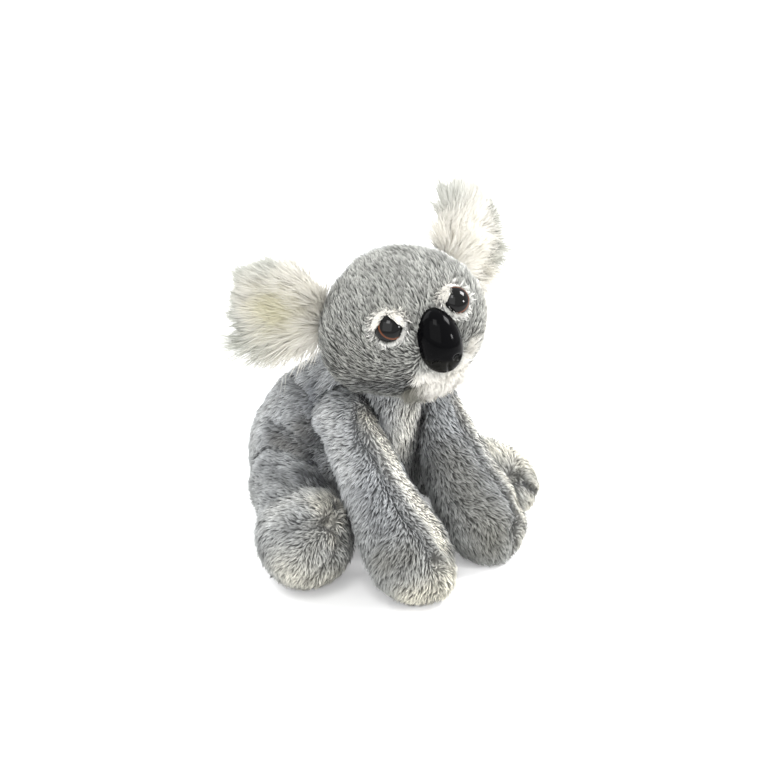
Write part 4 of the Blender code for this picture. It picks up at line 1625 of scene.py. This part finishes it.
LEFT_ARM = Arm(
    side=Side.LEFT,
    star=(30, -92, 17),
    seams=(
        (
            (27, -51, 68), (27, -58, 59), (26, -69, 47), (29, -75, 40), (31, -81, 33), (32, -89, 22),
            (30, -92, 17),
        ),
        ((30, -92, 17), (38, -89, 15)),
        ((30, -92, 17), (28, -94, 5)),
    ),
    strokes=strokes_of(
        (18, -52, 66, 0.45, -0.9), (14, -66, 47, 0.6, -0.8), (22, -72, 44, 0.8, -0.55),
        (13, -81, 33, 0.75, -0.65), (24, -84, 30, 0.85, -0.4), (11, -90, 17, 0.3, -0.95),
        (34, -70, 44, 0.5, -0.85), (38, -80, 25, 0.4, -0.9), (40, -60, 30, 0.3, -0.5, -0.8),
    ),
    # The ivory strip is the cloth's own; painted shade on the arm's face and under the paw, painted light on
    # the paw.
    tints=tints_of(
        (IVORY, 4.0, 1.2, (32, -50, 66), (33, -62, 55), (35, -74, 42), (38, -82, 32), (38, -87, 22)),
        (WARM_SHADE, 11.0, 0.6, (14, -66, 47), (13, -81, 33), (16, -90, 20)),
        (CREAM_AND_LIT, 7.0, 0.8, (37, -92, 12)),
        (WARM_SHADE, 7.0, 0.35, (18, -90, 14), (22, -90, 22)),
    ),
    folds=creases_of(
        (5.0, -2.4, 0.0, (33, -58, 60), (36, -70, 46), (38, -80, 32)),
        (10.0, -3.2, 0.0, (41, -84, 12)),
    ),
    short=((32, -52, 66), (33, -64, 54), (36, -78, 38), (38, -86, 24)),
)
RIGHT_LEG = Leg(
    side=Side.RIGHT,
    star=(-49, -60, 34),
    seams=(
        ((-49, -60, 34), (-46, -64, 28), (-54, -68, 22), (-61, -67, 15), (-66, -65, 9)),
        ((-49, -60, 34), (-58, -58, 36), (-65, -54, 35)),
        ((-49, -60, 34), (-43, -55, 35), (-40, -50, 34)),
    ),
    strokes=strokes_of(
        (-60, -20, 34, -0.8, 0.3), (-47, -39, 40, -0.7, 0.6), (-61, -54, 36, -0.95, 0.2),
        (-70, -59, 27, -0.8, -0.5), (-70, -40, 20, -0.6, -0.8), (-62, -64, 24, -0.15, -1),
        (-60, -66, 14, -0.1, -1), (-42, -66, 14, 0.3, -0.95), (-66, -10, 15, -0.3, 0.8, -0.5),
    ),
    # Painted light on the top of the foot, the thigh and the foot's front; painted shade by the star, by the
    # arm and where the leg meets the body.
    tints=tints_of(
        (CREAM_AND_LIT, 6.5, 1.3, (-41, -50, 36), (-46, -50, 39), (-47, -57, 36)),
        (CREAM_AND_LIT, 4.5, 0.9, (-50, -65, 29)),
        (WARM_SHADE, 5.0, 0.45, (-57, -60, 33), (-60, -63, 28)),
        (SILVER_AND_LIT, 9.0, 0.9, (-48, -42, 40), (-62, -42, 38)),
        (CREAM_AND_LIT, 11.0, 0.7, (-68, -60, 16), (-52, -68, 8)),
        (WARM_SHADE, 6.0, 0.4, (-40, -64, 28)),
        (COOL_SHADE, 4.0, 0.5, (-39, -29, 41), (-46, -34, 40)),
        (DEEP_SHADE, 4.5, 0.9, (-34, -36, 37), (-38, -31, 41)),
    ),
    # The folds' darkness is painted shade.
    folds=creases_of(
        (2.2, 2.6, 0.75, (-36, -38, 38), (-47, -36, 40), (-55, -33, 38), (-58, -22, 31)),
        (2.6, 2.0, 0.5, (-46, -30, 40), (-46, -18, 40), (-47, -8, 39)),
        (8.0, -1.2, 0.0, (-46, -50, 36), (-60, -50, 34)),
    ),
)
LEFT_LEG = Leg(
    side=Side.LEFT,
    star=(53, -66, 25),
    seams=(
        ((53, -66, 25), (60, -62, 31), (66, -56, 34)),
        ((53, -66, 25), (49, -67, 21), (46, -67, 14)),
        ((53, -66, 25), (60, -69, 18), (66, -66, 12)),
    ),
    strokes=strokes_of(
        (60, -20, 34, 0.6, 0.6, 0.2), (52, -56, 33, -0.5, 0.8), (66, -56, 34, 0.9, 0.3),
        (67, -65, 21, 0.5, -0.8), (59, -70, 18, 0.6, -0.7), (56, -68, 7, 0.1, -1),
        (66, -10, 15, 0.3, 0.8, -0.5),
    ),
    # Painted light over the thigh and the foot, and a little painted shade near the star.
    tints=tints_of(
        (CREAM_AND_LIT, 11.0, 1.1, (52, -52, 36), (68, -60, 28)),
        (CREAM_AND_LIT, 10.0, 0.9, (62, -68, 12)),
        (WARM_SHADE, 5.0, 0.3, (46, -62, 26)),
    ),
)


@dataclass
class Ear:
    """An ear: a white front pad with long silky pile and a short-napped grey back pad."""

    side: Side
    heart: Point
    behind: Point
    straw: float
    rim_tone: Colour
    rim: tuple[Point, ...]
    strokes: tuple[Stroke, ...]
    wisps: tuple[tuple[Mark, float], ...]

    def build(self) -> None:
        """Builds both pads."""
        name = f"ear_{self.side.word}"
        comb = Comb(self.strokes, waver_deg=9.0, waver_size=7.0)
        shared = {"body": name, "comb": comb, "backing": WHITE_BACKING, "smoothing": 4, "fill": 0.4}
        Cover(
            name=f"{name}_front",
            replaced=(f"{name}_front",),
            pile=SILK_PILE,
            base=WHITE,
            mottle=0.03,
            ragged=0.3,
            tints=tints_of((STRAW, 10.0, self.straw, self.heart), (self.rim_tone, 6.5, 1.0, *self.rim)),
            longer=self.wisps,
            bare_side=self.behind,
            voxel=0.8,
            draw_in=0.3,
            dimple=0.4,
            slot="white_plush",
            **shared,
        ).build()
        Cover(
            name=f"{name}_back",
            replaced=(f"{name}_back",),
            pile=NAP_PILE,
            base=SILVER_AND_LIT,
            tints=tints_of((PEARL, 6.0, 1.2, *self.rim)),
            voxel=0.7,
            draw_in=0.0,
            dimple=0.2,
            **shared,
        ).build()


RIGHT_EAR = Ear(
    side=Side.RIGHT,
    heart=(-36, -14, 116),
    behind=(0.95, 0.31, 0),
    straw=1.0,
    rim_tone=PEARL,
    rim=((-38, -13, 136), (-45, -3, 134), (-50, 2, 125), (-49, 4, 114), (-45, 1, 105), (-39, -7, 100)),
    strokes=strokes_of(
        (-25, -27, 121, -0.5, 0.85), (-32, -21, 131, -0.75, 0.65), (-38, -13, 136, -0.75, 0.65),
        (-45, -3, 134, -0.85, 0.55), (-50, 2, 125, -0.85, 0.55), (-49, 4, 114, -1, 0.2),
        (-45, 1, 105, -0.9, -0.3), (-39, -7, 100, -0.65, -0.75), (-35, -11, 100, -0.55, -0.85),
        (-25, -23, 101, -0.3, -0.95), (-30, -17, 102, -0.5, -0.85), (-38, -10, 118, -0.85, 0.5),
        (-34, -16, 108, -0.95, 0.1), (-28, -21, 112, -0.75, 0.6),
    ),
    wisps=(
        (Mark(((-47, 0, 133), (-38, -11, 136)), 5.0), 0.45),
        (Mark(((-50, 2, 124), (-50, 4, 114)), 5.0), 0.62),
        (Mark(((-44, 0, 106), (-41, -4, 103)), 4.0), 1.4),
        (Mark(((-40, -6, 101), (-36, -11, 101)), 4.5), 2.1),
        (Mark(((-48, 1, 130),), 2.6), 1.8),
        (Mark(((-31, -16, 101), (-26, -22, 101)), 4.0), 1.4),
    ),
)
LEFT_EAR = Ear(
    side=Side.LEFT,
    heart=(40, -36, 134),
    behind=(-0.22, 0.97, 0),
    straw=0.2,
    rim_tone=ASHEN,
    rim=((33, -36, 152), (42, -30, 157), (52, -29, 156), (61, -28, 146), (60, -31, 133), (57, -31, 126)),
    strokes=strokes_of(
        (29, -38, 147, -0.3, 0.95), (36, -33, 155, -0.2, 1), (46, -29, 158, 0.1, 1),
        (52, -29, 156, 0.5, 0.85), (62, -27, 143, 0.85, 0.5), (61, -30, 138, 0.9, 0.2),
        (60, -31, 133, 0.9, -0.25), (59, -31, 128, 0.8, -0.6), (50, -34, 122, 0.8, -0.6),
        (36, -40, 117, 0.8, -0.6), (26, -41, 134, -0.3, 0.9), (40, -37, 142, 0.4, 0.9),
        (48, -34, 134, 0.95, 0.1),
    ),
    wisps=(
        (Mark(((60, -31, 130), (50, -34, 122), (38, -40, 118)), 6.0), 1.7),
        (Mark(((46, -29, 158), (54, -29, 156), (61, -28, 146)), 4.0), 0.55),
        (Mark(((33, -36, 152), (38, -33, 156)), 4.0), 1.1),
    ),
)


def seat(at: Point, outward: Point, up: Vector) -> Matrix:
    """A frame on the head with +Z outward and +Y as near to up as it can be.

    Args:
        at: the seat's point in millimetres.
        outward: the way out of the head.
        up: the way to the crown.

    Returns:
        The frame in metres.
    """
    z_axis = Vector(outward).normalized()
    x_axis = up.cross(z_axis).normalized()
    axes = Matrix((x_axis, z_axis.cross(x_axis), z_axis)).transposed().to_4x4()
    return Matrix.Translation(Vector(at) * MM) @ axes


@dataclass
class Eye:
    """A glossy domed eye on its shank, and the white fur that stands round it like a lid."""

    side: Side
    at: Point
    outward: Point
    look: tuple[float, float]
    radius: float = 6.0
    height: float = 4.2
    base: float = 1.6
    edge: float = 0.6
    sides: int = 64
    rings: int = 16
    lid_radius: float = 6.5
    lid_rise: float = 0.7
    lid_over: float = 0.45
    lid_chord: float = 4.2
    lid_turns: tuple[float, ...] = (44.0, 136.0)
    lid_marks: tuple[float, ...] = (20, 44, 70, 110, 136, 160)
    patch_level: float = 1.3
    mark_radius: float = 5.4
    mark_level: float = 4.0
    shank_radius: float = 1.7
    shank_end: float = -7.4

    def build(self) -> None:
        """Builds the dome and the fur round it."""
        spots = seat(self.at, self.outward, HEAD_UP)
        self.dome(spots)
        self.lid(spots)

    def rows(self, over: float) -> list[tuple[float, float]]:
        """The dome's outline.

        Args:
            over: how many millimetres it is swollen by.

        Returns:
            Its radius and level, row by row from its top.
        """
        shoulder = self.base + self.edge
        rows = [(0.0, shoulder + self.height + over)]
        for ring in range(1, self.rings + 1):
            turn = math.pi / 2 * (1 - ring / self.rings)
            level = shoulder + (self.height + over) * math.sin(turn)
            rows.append(((self.radius + over) * math.cos(turn), level))
        rows.append(((self.radius + over) * 0.99, self.base + self.edge * 0.4))
        rows.append((self.radius * 0.9, self.base))
        return rows

    def dome(self, spots: Matrix) -> None:
        """Builds the eye's glossy dome, with the distance from its pupil kept at each point.

        Args:
            spots: the eye's frame.
        """
        name = f"eye_{self.side.word}"
        shank = ((self.shank_radius, self.base), (self.shank_radius, self.shank_end), (0.0, self.shank_end))
        rows = [*self.rows(0.0), *shank]
        piece = lathe(f"{name}_dome", rows, spots, self.sides)
        radial = piece.data.attributes.new("radial", "FLOAT", "POINT")
        inverse = spots.inverted()
        pupil = Vector(self.look) * MM
        places = (inverse @ vertex.co for vertex in piece.data.vertices)
        shares = [(place.xy - pupil).length / (self.radius * MM) for place in places]
        radial.data.foreach_set("value", shares)
        piece.data.materials.append(finish_of(EyeFinish()))
        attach(piece, "head")
        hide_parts(name)

    def corner(self, spots: Matrix, turn_deg: float) -> bpy.types.Mesh:
        """A closed slice of the swollen dome, which lids one of the eye's upper corners.

        Args:
            spots: the eye's frame.
            turn_deg: the corner's place round the eye.

        Returns:
            The slice's mesh.
        """
        rows = [*self.rows(self.lid_over), (0.0, self.base)]
        piece = lathe("lid_slice", rows, spots, self.sides)
        mesh = piece.data
        bpy.data.objects.remove(piece)
        turn = math.radians(turn_deg)
        facing = spots.to_3x3() @ Vector((math.cos(turn), math.sin(turn), 0.0))
        built = bmesh.new()
        built.from_mesh(mesh)
        cut = bmesh.ops.bisect_plane(
            built,
            geom=[*built.verts, *built.edges, *built.faces],
            plane_co=spots.translation + facing * self.lid_chord * MM,
            plane_no=facing,
            clear_inner=True,
        )
        edges = [part for part in cut["geom_cut"] if isinstance(part, bmesh.types.BMEdge)]
        bmesh.ops.contextual_create(built, geom=edges)
        bmesh.ops.recalc_face_normals(built, faces=built.faces)
        built.to_mesh(mesh)
        built.free()
        return mesh

    def lid(self, spots: Matrix) -> None:
        """Builds the white patch round the eye, with lids whose fur runs down beside the dome.

        Args:
            spots: the eye's frame.
        """
        turns = [2 * math.pi * index / 16 for index in range(17)]
        ring = tuple(self.place(spots, self.lid_radius, turn, self.patch_level) for turn in turns)
        marks = [math.radians(turn) for turn in self.lid_marks]
        lids = tuple(self.place(spots, self.mark_radius, turn, self.mark_level) for turn in marks)
        under = tuple(point for point, turn in zip(ring, turns) if math.sin(turn) < 0.2)
        slices = tuple(self.corner(spots, turn) for turn in self.lid_turns)
        Cover(
            name=f"eye_surround_{self.side.word}",
            body="head",
            replaced=(f"eye_patch_{self.side.word}",),
            comb=Comb(self.lid_strokes(spots), waver_deg=7.0),
            pile=FACE_PILE,
            extras=slices,
            base=NEUTRAL,
            creases=(Crease(Mark(ring, 1.1), -self.lid_rise, 0.0),),
            tints=(
                Tint(Mark(ring, 1.5), WHITE, 1.4),
                Tint(Mark(lids, 2.6), WHITE, 1.5),
                Tint(Mark(under, 1.8), SILVER_AND_LIT, 0.6),
            ),
            bald=(Mark((self.place(spots, 0.0, 0.0, self.patch_level),), 4.6),),
            white=(Mark(ring, 0.8), Mark(lids, 2.3)),
            white_pile=LID_PILE,
            voxel=0.35,
            smoothing=3,
            draw_in=0.0,
            dimple=0.1,
            fill=0.3,
        ).build()
        for mesh in slices:
            bpy.data.meshes.remove(mesh)

    def lid_strokes(self, spots: Matrix) -> tuple[Stroke, ...]:
        """The comb round the eye: down from the top on both sides, and outwards below.

        Args:
            spots: the eye's frame.

        Returns:
            A stroke on the lid and one outside it, at each step round the eye.
        """
        strokes = []
        for turn_deg in range(0, 360, 20):
            turn = math.radians(turn_deg)
            side = -1.0 if math.cos(turn) > 0 else 1.0
            along = Vector((-math.sin(turn), math.cos(turn), 0.0)) * side
            out = Vector((math.cos(turn), math.sin(turn), 0.0))
            way = along + 0.1 * out if math.sin(turn) > -0.2 else 0.5 * along + 0.5 * out
            strokes.append(Stroke(self.place(spots, 6.4, turn, 2.5), tuple(spots.to_3x3() @ way)))
            strokes.append(Stroke(self.place(spots, 9.4, turn, 0.5), seen(-0.45, 0.88)))
        return tuple(strokes)

    def place(self, spots: Matrix, radius: float, turn: float, level: float) -> Point:
        """A point round the eye in the frame's own millimetres."""
        here = Vector((radius * math.cos(turn), radius * math.sin(turn), level)) * MM
        return tuple((spots @ here) / MM)


def lathe(name: str, rows: list[tuple[float, float]], spots: Matrix, sides: int) -> bpy.types.Object:
    """A round closed piece from its outline.

    Args:
        name: the object's name.
        rows: (radius, level) in millimetres, from the axis back to the axis.
        spots: the frame that it stands in.
        sides: how many sides it has.

    Returns:
        The object, with its place in its mesh.
    """
    built = bmesh.new()
    loops = []
    turns = [2 * math.pi * index / sides for index in range(sides)]
    for radius, level in rows[1:-1]:
        places = [Vector((radius * math.cos(turn), radius * math.sin(turn), level)) * MM for turn in turns]
        loops.append([built.verts.new(place) for place in places])
    top = built.verts.new(Vector((0, 0, rows[0][1])) * MM)
    bottom = built.verts.new(Vector((0, 0, rows[-1][1])) * MM)
    for index in range(sides):
        after = (index + 1) % sides
        built.faces.new((top, loops[0][index], loops[0][after]))
        built.faces.new((bottom, loops[-1][after], loops[-1][index]))
        for upper, lower in zip(loops, loops[1:]):
            built.faces.new((upper[index], lower[index], lower[after], upper[after]))
    bmesh.ops.transform(built, verts=built.verts, matrix=spots)
    bmesh.ops.recalc_face_normals(built, faces=built.faces)
    mesh = bpy.data.meshes.new(name)
    built.to_mesh(mesh)
    built.free()
    mesh.shade_smooth()
    mesh.set_sharp_from_angle(angle=math.radians(50))
    return placed(name, mesh)


@dataclass
class Nose:
    """The moulded nose: a tall dome over a lower lip with two nostrils and a notch."""

    at: Point = NOSE_AT
    outward: Point = (-0.4413, -0.8509, 0.2850)
    half_width: float = 9.4
    half_height: float = 14.2
    half_depth: float = 9.5
    sink: float = 2.6
    drift: tuple[float, float] = (2.6, -1.0)
    shank_radius: float = 1.7
    shank_length: float = 7.4
    lip_at: float = -5.4
    lip_step: float = 0.7
    nostril_at: tuple[float, float] = (4.6, -8.6)
    nostril_size: tuple[float, float] = (1.9, 1.5)
    nostril_depth: float = 1.7
    notch_width: float = 0.7
    blunt: float = 0.14
    lip_bow: float = 0.035
    lip_blur: float = 0.6
    notch_depth: float = 1.1
    finish: GlossFinish = GlossFinish("nose_gloss", (0.0025, 0.0025, 0.003), (0.010, 0.0098, 0.0085), 110.0)

    def build(self) -> None:
        """Builds the nose over its CAD node's place."""
        place = Vector((*self.drift, -self.sink)) * MM
        spots = seat(self.at, self.outward, HEAD_UP) @ Matrix.Translation(place)
        built = bmesh.new()
        bmesh.ops.create_uvsphere(built, u_segments=128, v_segments=96, radius=1)
        for vertex in built.verts:
            vertex.co = self.sculpt(vertex.co)
        bmesh.ops.transform(built, verts=built.verts, matrix=spots)
        self.add_shank(built)
        bmesh.ops.recalc_face_normals(built, faces=built.faces)
        mesh = bpy.data.meshes.new("nose_moulding")
        built.to_mesh(mesh)
        built.free()
        mesh.shade_smooth()
        piece = placed("nose_moulding", mesh)
        mesh.materials.append(finish_of(self.finish))
        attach(piece, "head")
        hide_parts("nose")

    def add_shank(self, built: bmesh.types.BMesh) -> None:
        """Adds the round shank that runs through the face into the washer.

        Args:
            built: the nose so far.
        """
        length = (self.shank_length + self.sink) * MM
        middle = Matrix.Translation((0, 0, (self.sink - self.shank_length) / 2 * MM))
        radius = self.shank_radius * MM
        bmesh.ops.create_cone(
            built,
            cap_ends=True,
            segments=24,
            radius1=radius,
            radius2=radius,
            depth=length,
            matrix=seat(self.at, self.outward, HEAD_UP) @ middle,
        )

    def sculpt(self, unit: Vector) -> Vector:
        """Shapes the nose.

        Args:
            unit: a point of the unit ball.

        Returns:
            The same point of the nose, in metres from its middle.
        """
        x, y, z = unit
        wide = self.half_width * (1 + self.blunt * max(0.0, -y))
        point = Vector((x * wide, y * self.half_height, z * self.half_depth))
        if z <= 0:
            return point * MM
        edge = self.lip_at - self.lip_bow * point.x**2
        below = 1 / (1 + math.exp((point.y - edge) / self.lip_blur))
        point.z -= self.lip_step * below * min(1.0, 2 * z)
        for hand in (-1, 1):
            across = (point.x - hand * self.nostril_at[0]) / self.nostril_size[0]
            aloft = (point.y - self.nostril_at[1]) / self.nostril_size[1]
            point.z -= self.nostril_depth * math.exp(-math.hypot(across, aloft) ** 4)
        low = min(1.0, max(0.0, (self.nostril_at[1] - point.y) / 2))
        point.z -= self.notch_depth * low * math.exp(-((point.x / self.notch_width) ** 2))
        return point * MM


@dataclass
class Chin:
    """The white patch under the nose, with long tufts that hang from it."""

    strokes: tuple[Stroke, ...] = strokes_of(
        (-16, -76, 98, 0.0, -1), (-8, -78, 93, -0.1, -1), (2, -80, 93, 0.25, -1), (9, -80, 97, 0.5, -0.8)
    )
    # painted shade under the jaw
    tints: tuple[Tint, ...] = tints_of((WARM_SHADE, 6.0, 1.4, (-17, -73, 94), (-10, -72, 86)))

    def build(self) -> None:
        """Builds the patch."""
        Cover(
            name="chin",
            body="head",
            replaced=("chin_patch",),
            comb=Comb(self.strokes, waver_deg=14.0, waver_size=6.0),
            pile=CHIN_PILE,
            backing=WHITE_BACKING,
            base=WHITE,
            mottle=0.04,
            tints=self.tints,
            voxel=0.45,
            smoothing=3,
            draw_in=0.0,
            dimple=0.2,
            slot="white_plush",
            fill=0.3,
        ).build()


@dataclass
class Washers:
    """The toothed washers behind the eyes and the nose."""

    finish: PlainFinish = PlainFinish("washer_moulding", (0.74, 0.74, 0.73), 0.45, 900.0, 0.00005)

    def build(self) -> None:
        """Dresses each washer's CAD node."""
        for name, node in frame["nodes"].items():
            if "washer" in name:
                node.data.materials.clear()
                node.data.materials.append(finish_of(self.finish))


@dataclass
class Studio:
    """The floor, the lights, the pale world and the camera at the photograph's angle."""

    camera_at: Point = (-446.1, -605.8, 414.6)
    target: Point = (0.3, -34.4, 76.5)
    lens: float = 83.33
    ambient: float = 0.62
    floor_tone: Colour = (0.9, 0.9, 0.9)
    floor_glow: float = 0.3

    def build(self) -> None:
        """Builds the studio round the koala."""
        self.floor()
        self.world()
        self.lamp("key_light", (650, -300, 700), 0.3, 8.0)
        self.lamp("small_light", (540, -757, 351), 0.12, 2.2)
        self.lamp("window_light", (-350, -340, 910), 0.3, 2.0)
        self.lamp("fill_light", (-600, -500, 600), 0.9, 3.5)
        self.lamp("back_light", (-250, 700, 700), 0.8, 7.0)
        self.camera()
        bpy.context.scene.view_settings.view_transform = "Standard"

    def floor(self) -> None:
        """A plain pale floor."""
        mesh = bpy.data.meshes.new("floor")
        mesh.from_pydata([(-4, -4, 0), (4, -4, 0), (4, 4, 0), (-4, 4, 0)], [], [(0, 1, 2, 3)])
        floor = placed("floor", mesh)
        made, sheet, shader = new_material("pale_floor")
        seen_straight = sheet.add("ShaderNodeLightPath").outputs["Is Camera Ray"]
        sheet.feed(
            shader,
            Base_Color=(*self.floor_tone, 1),
            Roughness=0.9,
            Emission_Color=(1, 1, 1, 1),
            Emission_Strength=sheet.maths("MULTIPLY", seen_straight, self.floor_glow),
        )
        mesh.materials.append(made)
        floor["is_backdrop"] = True

    def world(self) -> None:
        """Soft light all round, white where the camera or a reflection sees it."""
        world = bpy.data.worlds.new("pale_world")
        world.use_nodes = True
        bpy.context.scene.world = world
        sheet = NodeSheet(world.node_tree)
        rays = sheet.add("ShaderNodeLightPath").outputs
        reflected = sheet.maths("MAXIMUM", rays["Is Glossy Ray"], rays["Is Transmission Ray"])
        shown = sheet.maths("MAXIMUM", rays["Is Camera Ray"], reflected)
        strength = sheet.maths("MULTIPLY_ADD", shown, 1 - self.ambient, self.ambient)
        sheet.feed(world.node_tree.nodes["Background"], Strength=strength, Color=(1, 1, 1, 1))

    def lamp(self, name: str, at: Point, size: float, watts: float) -> None:
        """Hangs a soft square lamp that faces the koala.

        Args:
            name: the lamp's name.
            at: its place in millimetres.
            size: its width in metres.
            watts: its power.
        """
        data = bpy.data.lights.new(name, "AREA")
        data.size = size
        data.energy = watts
        self.aim(placed(name, data), at)

    def aim(self, thing: bpy.types.Object, at: Point) -> None:
        """Sets a lamp or the camera at a point, facing the koala.

        Args:
            thing: the lamp or the camera.
            at: its place in millimetres.
        """
        thing.location = Vector(at) * MM
        way = Vector(self.target) * MM - thing.location
        thing.rotation_euler = way.to_track_quat("-Z", "Y").to_euler()

    def camera(self) -> None:
        """The camera, level, at the photograph's height and turn."""
        data = bpy.data.cameras.new("camera")
        data.lens = self.lens
        data.sensor_width = 36
        camera = placed("camera", data)
        self.aim(camera, self.camera_at)
        bpy.context.scene.camera = camera


def report_size() -> None:
    """Works out the CAD's box and the dressed koala's box as plain lists, which it then drops."""
    found = {"cad": CAD_BOX, "visual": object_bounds()}
    boxes = {name: [list(map(float, corner)) for corner in box] for name, box in found.items()}


def main() -> None:
    """Builds the koala's pieces in order and the studio round them."""
    logging.basicConfig(level=logging.INFO, format="%(name)s: %(message)s")
    Trunk().build()
    Head().build()
    for piece in (RIGHT_ARM, LEFT_ARM, RIGHT_LEG, LEFT_LEG, RIGHT_EAR, LEFT_EAR):
        piece.build()
    Eye(Side.RIGHT, RIGHT_EYE_AT, (-0.6315, -0.6367, 0.4426), (2.1, 0.6)).build()
    Eye(
        Side.LEFT,
        LEFT_EYE_AT,
        (-0.0432, -0.8026, 0.5950),
        (-1.5, 0.3),
        lid_chord=4.9,
        lid_turns=(118.0,),
        lid_marks=(95, 118, 140),
    ).build()
    Nose().build()
    Chin().build()
    Washers().build()
    Studio().build()
    report_size()


if __name__ == "__main__":
    main()
